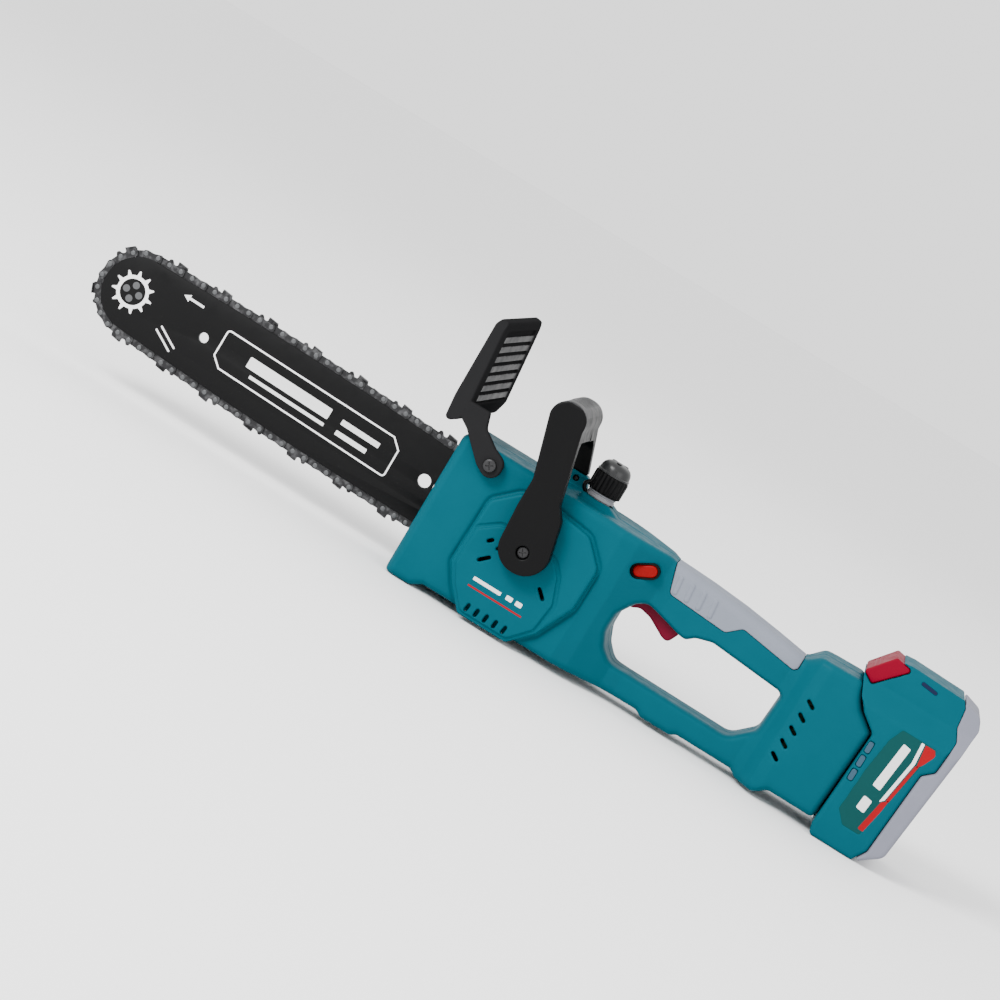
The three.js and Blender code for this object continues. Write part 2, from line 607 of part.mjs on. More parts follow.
function barOutline(tailDistance, tailHeight, shoulder, offset) {
  const shape = new THREE.Shape();
  const steps = 8;
  shape.moveTo(-tailDistance, -tailHeight);
  for (let step = 0; step <= steps; step += 1) {
    const distance = shoulder + (NOSE_ARC_DISTANCE - shoulder) * step / steps;
    shape.lineTo(-distance, -railHeight(distance) - offset);
  }
  shape.absarc(-NOSE_ARC_DISTANCE, 0, NOSE_RADIUS + offset, 1.5 * Math.PI, 0.5 * Math.PI, true);
  for (let step = steps; step >= 0; step -= 1) {
    const distance = shoulder + (NOSE_ARC_DISTANCE - shoulder) * step / steps;
    shape.lineTo(-distance, railHeight(distance) + offset);
  }
  shape.lineTo(-tailDistance, tailHeight);
  return shape;
}

function barPrism(shape, halfThickness) {
  const geometry = extruded(shape, 2 * halfThickness, 0, 12);
  return solid(geometry.rotateX(Math.PI / 2).translate(0, halfThickness, 0));
}

const BAR_SLOT = { front: 82, rear: 36, half: 4.4 };
const BAR_REAR_HOLE = { x: -93.5, radius: 5 };
const BAR_FRONT_HOLE = { x: -283, radius: 3.8 };
const TENSION_HOLE = { x: -67, z: -14, radius: 3.2 };

function guideBar() {
  const slotMiddle = -(BAR_SLOT.front + BAR_SLOT.rear) / 2;
  const noseGroove = ringY(-NOSE_DISTANCE, 0, 2.8, NOSE_RADIUS + 2, -1, 1, 24);
  return barPrism(barOutline(BAR_TAIL, 14, BAR_SHOULDER + TENSION_TRAVEL + 2, 0), BAR_THICKNESS / 2)
    .subtract(slotY(slotMiddle, 0, BAR_SLOT.front - BAR_SLOT.rear, 2 * BAR_SLOT.half, 0, -5, 5))
    .subtract(rodY(TENSION_HOLE.x, TENSION_HOLE.z, TENSION_HOLE.radius, -5, 5, 12))
    .subtract(rodY(BAR_REAR_HOLE.x, 0, BAR_REAR_HOLE.radius, -5, 5, 16))
    .subtract(rodY(BAR_FRONT_HOLE.x, 0, BAR_FRONT_HOLE.radius, -5, 5, 14))
    .subtract(noseGroove);
}

function noseSprocket() {
  const teeth = toothedOutline(NOSE_TEETH, 12.5, 16, 0.55, 0.3);
  return gearDisc(teeth, [{ radius: 3 }], -0.7, 0.7);
}

function sawChain() {
  const outer = barOutline(-4, SPROCKET_RADIUS + 2 + CHAIN_HEIGHT, BAR_SHOULDER, CHAIN_HEIGHT);
  const wrap = SPROCKET_RADIUS + GAP + 0.4;
  const outside = barPrism(outer, CHAIN_WIDTH / 2)
    .add(rodY(0, 0, wrap + CHAIN_HEIGHT + 1.6, -CHAIN_WIDTH / 2, CHAIN_WIDTH / 2, 28));
  const inside = barPrism(barOutline(-4, wrap, BAR_SHOULDER, GAP), CHAIN_WIDTH);
  return outside.subtract(inside.add(rodY(0, 0, wrap, -5, 5, 28)));
}

// Where a point of the bar's frame lies in the saw's frame.
function fromBar(x, z) {
  return {
    x: SPINDLE.x + x * Math.cos(BAR_TILT) + z * Math.sin(BAR_TILT),
    z: SPINDLE.z - x * Math.sin(BAR_TILT) + z * Math.cos(BAR_TILT),
  };
}

const BAR_STUD = fromBar(-55, 0);
const TENSION_PIN = fromBar(TENSION_HOLE.x, TENSION_HOLE.z);

const TENSION_SCREW_Y = 15.9;

function tensionPin() {
  return rodY(TENSION_PIN.x, TENSION_PIN.z, 2.9, 17.4, BAR_Y + 2.6, 12)
    .add(box(TENSION_PIN.x - 4, TENSION_PIN.x + 4, 14.2, 17.6, TENSION_PIN.z - 3.6, TENSION_PIN.z + 3.6))
    .subtract(rodX(TENSION_SCREW_Y, TENSION_PIN.z, 1.45, TENSION_PIN.x - 9, TENSION_PIN.x + 9, 10));
}

function tensionScrew() {
  return rodX(TENSION_SCREW_Y, TENSION_PIN.z, 1.2, -50.5, -28, 10)
    .add(rodX(TENSION_SCREW_Y, TENSION_PIN.z, 1.9, -52.5, -50.4, 10))
    .subtract(box(-53, -51.7, 10, 20, TENSION_PIN.z - 0.3, TENSION_PIN.z + 0.3));
}

function sprocketCover() {
  const front = -52;
  const rear = COVER_BAY.rear - GAP;
  const skin = [[front, 19.8, 5], [rear, 19.8, 8], [rear, 98, 8], [front, 98, 5]];
  const room = [[front - 9, 24.4, 0], [73, 24.4, 6], [73, 95.6, 6], [front - 9, 95.6, 0]];
  return across(skin, BAR_PAD_Y - 3, BODY_RIGHT, 2.5)
    .intersect(box(-100, 200, BAR_PAD_Y + GAP, BODY_RIGHT, 0, 120))
    .subtract(across(room, BAR_PAD_Y - 1, BODY_RIGHT - WALL))
    .add(ringY(BAR_STUD.x, BAR_STUD.z, 4.6, 9, BAR_Y + 2.5, BODY_RIGHT - 1, 18))
    .subtract(rodY(BAR_STUD.x, BAR_STUD.z, 4.6, 0, 60, 18));
}

function coverKnob() {
  const grip = toothedOutline(10, 15.5, 17, 0.7, 0.45);
  return gearDisc(grip, [], BODY_RIGHT + GAP, BODY_RIGHT + 12)
    .subtract(rodY(0, 0, 4.3, BODY_RIGHT - 2, BODY_RIGHT + 9, 12));
}

// ---------------------------------------------------------------- trigger group

function lockButtonShape(clearance, yLow, yHigh) {
  const lift = THREE.MathUtils.degToRad(28);
  return slotY(102.5, 93.6, 17.4 + 2 * clearance, 8.6 + 2 * clearance, lift, yLow, yHigh);
}

function triggerPiece() {
  return across(TRIGGER, -6.4, 6.4).subtract(rodY(TRIGGER_PIVOT.x, TRIGGER_PIVOT.z, 2.2, -10, 10, 12));
}

const PLUNGER_X = 130;

// ---------------------------------------------------------------- battery

const LATCH_TRAVEL = 3;
const LATCH_PRESS = [0.795, -0.607];       // inward, square to the slanted face
const CHARGE_LIGHTS = [50.6, 61.5, 72.4];
const BLADE_SLOT = [[295, -2], [303.4, -2], [303.4, 49], [297.6, 49]];

function pressedIn([x, z, radius]) {
  const travel = LATCH_TRAVEL + GAP;
  return [x + travel * LATCH_PRESS[0], z + travel * LATCH_PRESS[1], radius];
}

// The room that the latch needs from its rest place to fully pressed, open at both sides.
function latchPocket() {
  const resting = inset(LATCH, -GAP);
  const pocketHalf = BATTERY_HALF + 4;
  const restingForm = across(resting, -pocketHalf, pocketHalf);
  const pressedForm = across(resting.map(pressedIn), -pocketHalf, pocketHalf);
  return restingForm.add(pressedForm).hull();
}

function chargeLight(height, clearance, yLow) {
  return box(292.6 - clearance, 296.4 + clearance, yLow, -34.6 + clearance,
    height - 4.2 - clearance, height + 4.2 + clearance);
}

function batteryCase() {
  const interior = [
    [301, 3, 2], [322, 3, 2], [327.6, 11, 0], [331.4, 75.6, 0], [338.6, 82.4, 0], [340, 104.8, 0],
    [335.2, 113.2, 0], [333.6, 127, 0], [330, 129.4, 0], [302, 130.4, 2],
  ];
  const rearMouth = [[318, 14], [345, 14], [345, 126], [318, 126]];
  const front = along(BATTERY_FRONT, 250, 360);
  const frontInside = along(inset(BATTERY_FRONT, WALL), 250, 360);
  const mouthInside = along(inset(BATTERY_FRONT, 2 * WALL), 250, 360);
  let shell = across(BATTERY_CASE, -BATTERY_HALF, BATTERY_HALF).intersect(front);
  shell = shell.subtract(across(interior, -BATTERY_HALF, BATTERY_HALF).intersect(frontInside));
  shell = shell.subtract(across(rearMouth, -BATTERY_HALF, BATTERY_HALF).intersect(mouthInside));
  shell = shell.subtract(latchPocket());
  shell = shell.subtract(batteryRail(0.5, -60, 72));
  [-1, 1].forEach((side) => {
    const middle = 6.4 * side;
    shell = shell.subtract(across(BLADE_SLOT, middle - 1.8, middle + 1.8));
  });
  CHARGE_LIGHTS.forEach((height) => {
    shell = shell.subtract(chargeLight(height, GAP, -BATTERY_HALF - 1));
  });
  return shell;
}

function batteryBase() {
  const room = [[318, 14], [337, 14], [346, 119], [342, 126], [318, 126]];
  const hollow = across(room, -BATTERY_HALF, BATTERY_HALF)
    .intersect(along(inset(BATTERY_FRONT, 2 * WALL), 250, 360));
  return across(BATTERY_BASE, -BATTERY_HALF, BATTERY_HALF).intersect(along(BATTERY_FRONT, 250, 360))
    .subtract(hollow);
}

const CELL = { radius: 9.1, length: 64, pitch: 18.6, count: 5 };

// ---------------------------------------------------------------- assembly

place(saw, 'left_housing', leftHousing(), 'teal');
place(saw, 'right_housing', rightHousing(), 'teal');
place(saw, 'motor_cover', motorCover(), 'teal');
place(saw, 'sprocket_cover', sprocketCover(), 'teal');
place(saw, 'grip_pad_left', padSolid(-1), 'softGrip');
place(saw, 'grip_pad_right', padSolid(1), 'softGrip');
place(saw, 'front_handle', frontHandle(), 'black');
place(saw, 'hand_guard', handGuard(), 'black');

const handleScrew = place(saw, 'handle_screw_left', sideScrew(4.2, 2.6, 2, 10.6), 'darkSteel');
handleScrew.position.set(HANDLE_SCREW.x, -52.2, HANDLE_SCREW.z);
const handlePin = place(saw, 'handle_screw_right', sideScrew(3.4, 2, 1.4, 12), 'darkSteel');
handlePin.position.set(HANDLE_PEG.x, 41.9, HANDLE_PEG.z);
handlePin.rotation.z = Math.PI;
const guardScrew = place(saw, 'guard_pivot_screw', sideScrew(4.6, 2.4, 2.9, 15), 'darkSteel');
guardScrew.position.set(GUARD_PIVOT.x, -46.4, GUARD_PIVOT.z);
HOUSING_SCREWS.forEach(([x, z], index) => {
  const screw = place(saw, `housing_screw_${index + 1}`, sideScrew(3.6, 2.4, 1.6, 22), 'darkSteel');
  screw.position.set(x, 12.3, z);
  screw.rotation.z = Math.PI;
});
place(saw, 'brake_switch', box(-34, -14, -30, -20, 82, 95), 'black');

place(saw, 'oil_tank', oilTank(), 'tank');
const neck = place(saw, 'oil_filler_neck', fillerNeck(), 'clearGrey');
neck.position.set(OIL_CAP.x, OIL_CAP.y, OIL_CAP.z - 0.2);
neck.rotation.x = Math.PI / 2;
const cap = place(saw, 'oil_cap', oilCap(), 'black');
cap.position.set(OIL_CAP.x, OIL_CAP.y, OIL_CAP.z);
cap.rotation.x = Math.PI / 2;
const seal = ringY(0, 0, 6.8, 8.3, 0, 1.1, 18);
const capSeal = place(saw, 'oil_cap_seal', seal, 'black');
capSeal.position.set(OIL_CAP.x, OIL_CAP.y, OIL_CAP.z + 9.1);
capSeal.rotation.x = Math.PI / 2;
place(saw, 'oil_hose', oilHose(), 'black');
place(saw, 'oil_pump', oilPump(), 'black');

const drive = new THREE.Group();
drive.position.set(SPINDLE.x, 0, SPINDLE.z);
saw.add(drive);
place(drive, 'motor_stator', motorStator(), 'copper');
place(drive, 'motor_rotor', motorRotor(), 'steel');
place(drive, 'cooling_fan', coolingFan(), 'black');
place(drive, 'motor_bearing_left', bearing(4.1, 7.9, -40.4, -35.4), 'steel');
place(drive, 'motor_bearing_right', bearing(4.1, 7.9, -7.4, -3), 'steel');
place(drive, 'gearbox_plate', ringY(0, 0, 8.15, 24.6, -7.6, -2.8, 24), 'darkSteel');
place(drive, 'ring_gear', ringGear(), 'steel');
for (let planet = 0; planet < PLANETS; planet += 1) {
  const orbit = new THREE.Group();
  orbit.rotation.y = -planet * 2 * Math.PI / PLANETS;
  drive.add(orbit);
  const gearForm = externalGear(PLANET_TEETH, 0.5, PLANET_PIN_RADIUS + 0.2, -1.4, 6.6);
  const gear = place(orbit, `planet_gear_${planet + 1}`, gearForm, 'steel');
  gear.position.x = PLANET_ORBIT;
}
place(drive, 'planet_carrier', planetCarrier(), 'steel');
place(drive, 'spindle_bearing', bearing(5.1, 10, 9.6, 14.4), 'steel');
place(drive, 'drive_sprocket', driveSprocket(), 'darkSteel');

const barGroup = new THREE.Group();
barGroup.position.set(SPINDLE.x, BAR_Y, SPINDLE.z);
barGroup.rotation.y = BAR_TILT;
saw.add(barGroup);
place(barGroup, 'guide_bar', guideBar(), 'barPaint');
place(barGroup, 'saw_chain', sawChain(), 'darkSteel');
const noseWheel = place(barGroup, 'nose_sprocket', noseSprocket(), 'steel');
noseWheel.position.x = -NOSE_DISTANCE;

place(saw, 'bar_stud', rodY(BAR_STUD.x, BAR_STUD.z, 4, 6, BODY_RIGHT + 8, 12)
  .add(rodY(BAR_STUD.x, BAR_STUD.z, 7, 5.4, 9.2, 6)), 'steel');
const knob = place(saw, 'cover_knob', coverKnob(), 'black');
knob.position.set(BAR_STUD.x, 0, BAR_STUD.z);
place(saw, 'tension_pin', tensionPin(), 'steel');
place(saw, 'tension_screw', tensionScrew(), 'steel');

place(saw, 'trigger', triggerPiece(), 'crimson');
place(saw, 'trigger_pin', rodY(TRIGGER_PIVOT.x, TRIGGER_PIVOT.z, 1.9, -15, 15, 12), 'steel');
place(saw, 'trigger_switch', box(118, 144, -7, 7, 92, 103)
  .subtract(rodZ(PLUNGER_X, 0, 3, 90, 98, 12)), 'black');
place(saw, 'switch_plunger', rodZ(PLUNGER_X, 0, 2.7, 85.4, 94, 12), 'black');
place(saw, 'lock_off_button', lockButtonShape(0, -27.6, -14), 'red');
place(saw, 'control_board', box(244, 271, -12, -10.4, 30, 78), 'board');
place(saw, 'terminal_block', box(272, 297, -12, 12, 30, 52)
  .add(box(296, 302.6, -7.6, -5.2, 32, 46)).add(box(296, 302.6, 5.2, 7.6, 32, 46)), 'black');

place(saw, 'battery_case', batteryCase(), 'teal');
place(saw, 'battery_base', batteryBase(), 'greyPlastic');
place(saw, 'battery_latch', across(LATCH, -26, 26), 'latchRed');
CHARGE_LIGHTS.forEach((height, index) => {
  place(saw, `charge_light_${index + 1}`, chargeLight(height, 0, -BATTERY_HALF - 0.2), 'clearGrey');
});
for (let cell = 0; cell < CELL.count; cell += 1) {
  const wrap = place(saw, `battery_cell_${cell + 1}`,
    rodY(0, 0, CELL.radius, -CELL.length / 2, CELL.length / 2, 16), 'cellWrap');
  wrap.position.set(314.4 + 2.2 * cell, 0, 13.4 + CELL.pitch * cell);
}

// The frame's origin is under the middle of the whole saw, on the plane that it stands on.
const reach = new THREE.Box3().setFromObject(saw, true);
saw.position.set(-(reach.min.x + reach.max.x) / 2, -(reach.min.y + reach.max.y) / 2, -reach.min.z);

export default saw;
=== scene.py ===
"""Looks of the cordless chainsaw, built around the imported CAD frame. Lengths below are in millimetres."""
import math

import bmesh
import bpy
import numpy as np
from mathutils import Matrix, Vector


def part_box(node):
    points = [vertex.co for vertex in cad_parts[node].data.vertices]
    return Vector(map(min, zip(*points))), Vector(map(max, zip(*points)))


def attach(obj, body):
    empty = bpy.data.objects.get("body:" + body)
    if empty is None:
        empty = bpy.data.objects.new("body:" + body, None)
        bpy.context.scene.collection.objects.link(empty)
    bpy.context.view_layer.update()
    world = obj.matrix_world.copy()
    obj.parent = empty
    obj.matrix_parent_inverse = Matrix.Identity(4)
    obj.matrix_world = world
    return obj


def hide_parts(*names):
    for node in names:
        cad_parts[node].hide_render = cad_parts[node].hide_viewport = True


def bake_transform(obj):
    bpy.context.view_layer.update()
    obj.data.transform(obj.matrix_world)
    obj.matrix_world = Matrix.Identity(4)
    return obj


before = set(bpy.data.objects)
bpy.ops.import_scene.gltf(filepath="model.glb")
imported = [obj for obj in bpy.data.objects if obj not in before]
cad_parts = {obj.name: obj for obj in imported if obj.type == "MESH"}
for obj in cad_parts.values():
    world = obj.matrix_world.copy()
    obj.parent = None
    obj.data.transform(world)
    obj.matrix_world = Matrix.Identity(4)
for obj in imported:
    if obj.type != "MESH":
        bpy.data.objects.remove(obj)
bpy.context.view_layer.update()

MM = 0.001
GAP = 0.3                               # between pieces that touch
WALL = 2.5                              # plastic shell thickness
HOUSING_FRONT = -53.0

# Every drawing below has its zero where ORIGIN lies in the CAD frame: X back, Y to the chain side, Z up.
housing_low, housing_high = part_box("left_housing")
ORIGIN = Vector((housing_low.x - HOUSING_FRONT * MM, housing_high.y + GAP / 2 * MM, 0.0))

SPINDLE = (27.0, 58.0)                  # motor, gearbox and drive sprocket turn on this line
BAR_Y = 20.0                            # middle plane of the bar and the chain
BAR_TILT = math.radians(1.3)
BODY_LEFT = 38.0                        # half widths from the parting line
BODY_RIGHT = 42.0
GRIP_HALF = 18.5
BATTERY_HALF = 36.0
BATTERY_LEAN = math.radians(2.6)
BAY = {"front": -70, "rear": 76, "bottom": 19.5, "top": 98.3}
BAR_PAD_Y = 12.0                        # the wall that the bar stands off
HOUSING_SCREWS = [(238, 22), (276, 22), (240, 94), (110, 14)]
HANDLE_SCREW = (26, 64)
HANDLE_PEG = (24.2, 117.6)
GUARD_PIVOT = (-24.8, 102)
TRIGGER_PIN = (109, 84)
LOCK_BUTTON = (102.5, 93.6)
LOCK_LIFT = math.radians(28)
FILLER = (48.0, 0.0)                    # the oil filler's axis in plan
CAP_Z = 121.6                           # bottom of the oil cap

# ------------------------------------------------------------------ outlines: x, z, corner radius

BODY_SIDE = [
    (-53, 0, 3), (-32.6, 0, 3), (-24, 5.2, 3), (100, 5.6, 6), (146, 6.2, 2), (151, 3.2, 3),
    (174.5, 3.2, 3), (179, 6, 3), (222.5, 6, 3), (228, 2.5, 4), (243, 2.5, 4), (252, 9.4, 4),
    (287.6, 9.4, 4), (291, 80, 4), (277.7, 90.2, 6), (273.7, 95.7, 6), (267.5, 108, 4), (237, 107.2, 8),
    (227.6, 98.4, 3), (202, 102.2, 20), (174.5, 105.7, 20), (146.8, 107.9, 20), (118, 109.2, 3),
    (112, 110.9, 6), (66, 112.2, 0), (-53, 112.2, 6),
]
HAND_OPENING = [
    (100.8, 58, 6), (100.6, 43.9, 12), (105.3, 33, 12), (114.3, 24.6, 12), (209.5, 24, 12), (224.2, 38.2, 8),
    (226, 69.5, 4), (167.3, 74.1, 10), (155.5, 70.5, 6), (150, 65.7, 4), (145, 66.2, 1), (115.4, 74, 8),
    (108.4, 69.9, 6),
]
MOTOR_COVER = [
    (-14.5, 31.4, 4), (-13.1, 81.4, 7), (3.9, 97.1, 9), (28, 99.5, 12), (58.8, 95.5, 9), (75.5, 78.7, 9),
    (74.8, 46.9, 9), (61.4, 18.7, 6), (46, 2.6, 4), (7, 2.6, 4), (-6.1, 18.1, 4),
]
COVER_FACE = [
    (-11.2, 33, 4), (-10.6, 60, 5), (3, 70, 6), (28, 74, 6), (47, 68, 5), (54, 60, 5),
    (61, 42, 5), (58.5, 20.6, 5), (45, 5.6, 4), (8.2, 5.6, 4), (-3.6, 19.4, 4),
]
GRIP_PAD = [
    (115.4, 116, 0), (124.3, 87.8, 4), (170.9, 85, 5), (180.6, 93.8, 4), (224, 87.6, 3), (226.7, 90.3, 2),
    (226.7, 116, 0),
]
HANDLE_LEFT_ARM = [
    (44.6, 68, 12), (44, 48.6, 18), (8.4, 48.6, 18), (7.6, 66.5, 10), (6, 91, 6), (6, 111, 8),
    (-7.4, 156, 6), (-7.4, 170.2, 13), (19, 170.2, 13), (19, 155, 8), (31.6, 103.8, 6), (38.2, 94.9, 6),
]
HANDLE_RIGHT_ARM = [
    (17.8, 122.6, 1), (-7.4, 156, 6), (-7.4, 170.2, 13), (19, 170.2, 13), (19, 155, 8), (30.6, 122.6, 1),
]
GUARD_SIDE = [
    (-71, 131, 6), (-71.5, 187, 3), (-69.5, 192.6, 2), (-64, 191.5, 2), (-58, 128, 3), (-59.5, 118, 3),
    (-69, 111.6, 3),
]
GUARD_FRONT = [
    (-46, 111, 4), (-46, 192.6, 8), (58, 192.6, 10), (60, 126, 8), (53, 117.4, 6), (-30, 118, 8),
]
GUARD_ARM = [
    (-26, 93.5, 8), (-16.4, 94, 8), (-16.2, 108.5, 8), (-27.5, 113.5, 6), (-39.5, 122, 6), (-43, 133, 2),
    (-61, 133, 1), (-61, 121, 2), (-52, 115.5, 3), (-34, 98, 8),
]
BATTERY_CASE = [
    (290.6, 0, 3), (324, 0, 2), (330.2, 10.6, 3), (333.9, 74.3, 3), (341.2, 81, 3), (342.7, 105.5, 4),
    (338, 113.8, 3), (336.1, 128, 3), (332.8, 132.6, 1), (292.6, 133.8, 5), (280, 132.6, 2),
    (265.2, 113.2, 2), (272, 99.5, 3), (274.8, 96.5, 3), (279, 90.9, 5), (291.8, 81, 5), (288.6, 7.5, 3),
]
BATTERY_BASE = [
    (324.3, 0, 2), (328.9, 2.2, 3), (342.4, 12.3, 8), (352.1, 119.5, 8), (348.2, 127.7, 6),
    (333.1, 132.6, 1), (336.4, 128, 3), (338.3, 113.9, 3), (343, 105.5, 4), (341.5, 80.9, 3),
    (334.2, 74.2, 3), (330.5, 10.6, 3),
]
BATTERY_FRONT = [
    (-36, -5, 0), (36, -5, 0), (36, 96, 8), (27, 112, 6), (25.5, 140, 0), (-25.5, 140, 0), (-27, 112, 6),
    (-36, 96, 8),
]
LATCH = [(264.6, 114.6, 2), (273.6, 109, 2), (293.4, 130.8, 2), (279.4, 133.4, 2)]
TRIGGER = [
    (104.2, 63, 2), (112, 67, 6), (121, 65, 8), (134.5, 57.7, 5), (140, 56, 4), (144.2, 65, 3), (142, 83, 2),
    (121, 86, 0), (109, 89.2, 4), (104, 86, 3), (104, 74, 3),
]


# ------------------------------------------------------------------ outline maths

SHARPEST_HALF = 0.05                    # radians; keeps a needle corner's cut finite
LEAST_CUT = 0.02
SHARED_LENGTH = 0.96                    # of an edge, at most, goes to the arcs at its two ends


def corner_sides(points, index):
    """The corner, and the ways from it to its two neighbours."""
    corner = Vector(points[index][:2])
    before = Vector(points[index - 1][:2]) - corner
    after = Vector(points[(index + 1) % len(points)][:2]) - corner
    return corner, before, after


def corner_cuts(points):
    """How far each arc starts from its corner; arcs that share a short edge share its length."""
    count = len(points)
    wanted, lengths = [], []
    for index in range(count):
        _, before, after = corner_sides(points, index)
        half = max(SHARPEST_HALF, before.angle(after) / 2)
        wanted.append(max(LEAST_CUT, points[index][2] / math.tan(half)))
        lengths.append(after.length)
    cuts = []
    for index in range(count):
        shares = [wanted[index]]
        for other, length in ((index - 1, lengths[index - 1]), ((index + 1) % count, lengths[index])):
            total = wanted[index] + wanted[other]
            if total > SHARED_LENGTH * length:
                shares.append(SHARED_LENGTH * length * wanted[index] / total)
        cuts.append(min(shares))
    return cuts


def rounded(points, steps=5):
    """The outline as a dense loop, each corner rounded by its own radius. Every corner gives the same
    number of points, so two outlines with as many corners can be lofted together."""
    loop = []
    for index, cut_length in enumerate(corner_cuts(points)):
        corner, before, after = corner_sides(points, index)
        start = corner + before.normalized() * cut_length
        end = corner + after.normalized() * cut_length
        pull = math.sin(before.angle(after) / 2)
        for step in range(steps + 1):
            t = step / steps
            middle = 2 * t * (1 - t) * pull
            weight = (1 - t) ** 2 + middle + t ** 2
            point = (start * (1 - t) ** 2 + corner * middle + end * t ** 2) / weight
            loop.append((point.x, point.y))
    return loop


def turn_of(loop):
    area = sum(a[0] * b[1] - b[0] * a[1] for a, b in zip(loop, loop[1:] + loop[:1]))
    return 1.0 if area > 0 else -1.0


def inset(points, distance):
    """Every edge of the outline moves inward by the distance; a negative distance moves it out."""
    corners = [(x, z) for x, z, _ in points]
    turn = turn_of(corners)
    moved = []
    count = len(points)
    for index, (x, z, radius) in enumerate(points):
        normals = []
        for first, second in ((corners[index - 1], (x, z)), ((x, z), corners[(index + 1) % count])):
            scale = turn / math.dist(first, second)
            normals.append((-scale * (second[1] - first[1]), scale * (second[0] - first[0])))
        (ax, az), (bx, bz) = normals
        reach = distance / max(0.3, 1 + ax * bx + az * bz)
        moved.append((x + (ax + bx) * reach, z + (az + bz) * reach, max(0, radius - distance)))
    return moved


def rectangle(x_low, x_high, z_low, z_high, radius=0.0):
    return [(x, z, radius) for x, z in ((x_low, z_low), (x_high, z_low), (x_high, z_high), (x_low, z_high))]


def circle(centre, radius, sides):
    turns = [2 * math.pi * index / sides for index in range(sides)]
    return [(centre[0] + radius * math.cos(turn), centre[1] + radius * math.sin(turn)) for turn in turns]


def slot_points(x, z, length, width, angle):
    """A slot with round ends as an outline, turned in the side view."""
    turned = []
    for u, v, _ in rectangle(-length / 2, length / 2, -width / 2, width / 2):
        turned.append((x + u * math.cos(angle) - v * math.sin(angle),
                       z + u * math.sin(angle) + v * math.cos(angle), width / 2 * 0.98))
    return turned


# ------------------------------------------------------------------ mesh building

def place_x(point):
    """Side-view layer: (x, z) at distance y across the saw."""
    (x, z), y = point
    return ORIGIN + Vector((x, y, z)) * MM


def place_front(point):
    """Front-view layer: (y, z) at distance x."""
    (y, z), x = point
    return ORIGIN + Vector((x, y, z)) * MM


def place_plan(point):
    """Plan-view layer: (x, y) at height z."""
    (x, y), z = point
    return ORIGIN + Vector((x, y, z)) * MM


def new_object(name, bm):
    bmesh.ops.recalc_face_normals(bm, faces=bm.faces)
    if bm.calc_volume(signed=True) < 0:
        bmesh.ops.reverse_faces(bm, faces=bm.faces)
    mesh = bpy.data.meshes.new(name)
    bm.to_mesh(mesh)
    bm.free()
    piece = bpy.data.objects.new(name, mesh)
    bpy.context.scene.collection.objects.link(piece)
    return piece


def loft(name, layers, put=place_x):
    """A closed solid through loops of equal length; each layer is (loop, level)."""
    bm = bmesh.new()
    rings = []
    for loop, level in layers:
        rings.append([bm.verts.new(put((point, level))) for point in loop])
    for low, high in zip(rings, rings[1:]):
        for index in range(len(low)):
            after = (index + 1) % len(low)
            bm.faces.new((low[index], low[after], high[after], high[index]))
    bm.faces.new(rings[0])
    bm.faces.new(rings[-1])
    return new_object(name, bm)


def pillow(name, points, low, high, round_low=0.0, round_high=0.0, put=place_x, steps=4, corner_steps=5):
    """An outline carried from low to high, its two rims rounded by quarter circles. A negative rounding
    flares the rim outward, for cutters."""
    def layer(depth, level):
        return rounded(inset(points, depth), corner_steps), level

    layers = []
    for step in range(steps + 1):
        angle = math.pi / 2 * step / steps
        if round_low or step == steps:
            rise = abs(round_low) * (1 - math.cos(angle))
            layers.append(layer(round_low * (1 - math.sin(angle)), low + rise))
    for step in range(steps + 1):
        angle = math.pi / 2 * step / steps
        if round_high or step == 0:
            fall = abs(round_high) * (1 - math.sin(angle))
            layers.append(layer(round_high * (1 - math.cos(angle)), high - fall))
    return loft(name, layers, put)


def half_pillow(name, points, side, inner, outer, rounding):
    """A pillow on one side (-1 or 1) of the parting line, with only its outer rim rounded."""
    low, high = sorted((side * inner, side * outer))
    return pillow(name, points, low, high, *((rounding, 0) if side < 0 else (0, rounding)))


def cylinder(name, centre, radius, low, high, put=place_x, sides=32, chamfer=0.0):
    layers = [(circle(centre, radius - chamfer, sides), low)]
    if chamfer:
        layers.append((circle(centre, radius, sides), low + chamfer))
        layers.append((circle(centre, radius, sides), high - chamfer))
    layers.append((circle(centre, radius - chamfer, sides), high))
    return loft(name, layers, put)


def block(name, x, y, z):
    loop = [(x[0], z[0]), (x[1], z[0]), (x[1], z[1]), (x[0], z[1])]
    return loft(name, [(loop, y[0]), (loop, y[1])])


def apply_modifiers(piece):
    graph = bpy.context.evaluated_depsgraph_get()
    mesh = bpy.data.meshes.new_from_object(piece.evaluated_get(graph))
    old = piece.data
    piece.modifiers.clear()
    piece.data = mesh
    bpy.data.meshes.remove(old)


def combine(piece, others, operation):
    for other in others:
        change = piece.modifiers.new("combine", "BOOLEAN")
        change.operation = operation
        change.solver = "MANIFOLD"
        change.object = other
    bpy.context.view_layer.update()
    apply_modifiers(piece)
    for other in others:
        bpy.data.objects.remove(other)
    return piece


def cut(piece, *others):
    return combine(piece, others, "DIFFERENCE")


def join(piece, *others):
    return combine(piece, others, "UNION")


def common(piece, *others):
    return combine(piece, others, "INTERSECT")


def moulded(piece, voxel=0.8, smoothing=3, keep=0.35):
    """Remeshes a solid finely and softens its edges, as a moulded part has them."""
    remesh = piece.modifiers.new("voxels", "REMESH")
    remesh.mode = "VOXEL"
    remesh.voxel_size = voxel * MM
    apply_modifiers(piece)
    soften(piece, smoothing, keep)


def soften(piece, smoothing, keep):
    smooth = piece.modifiers.new("soften", "SMOOTH")
    smooth.factor = 0.5
    smooth.iterations = smoothing
    fewer = piece.modifiers.new("fewer", "DECIMATE")
    fewer.ratio = keep
    apply_modifiers(piece)


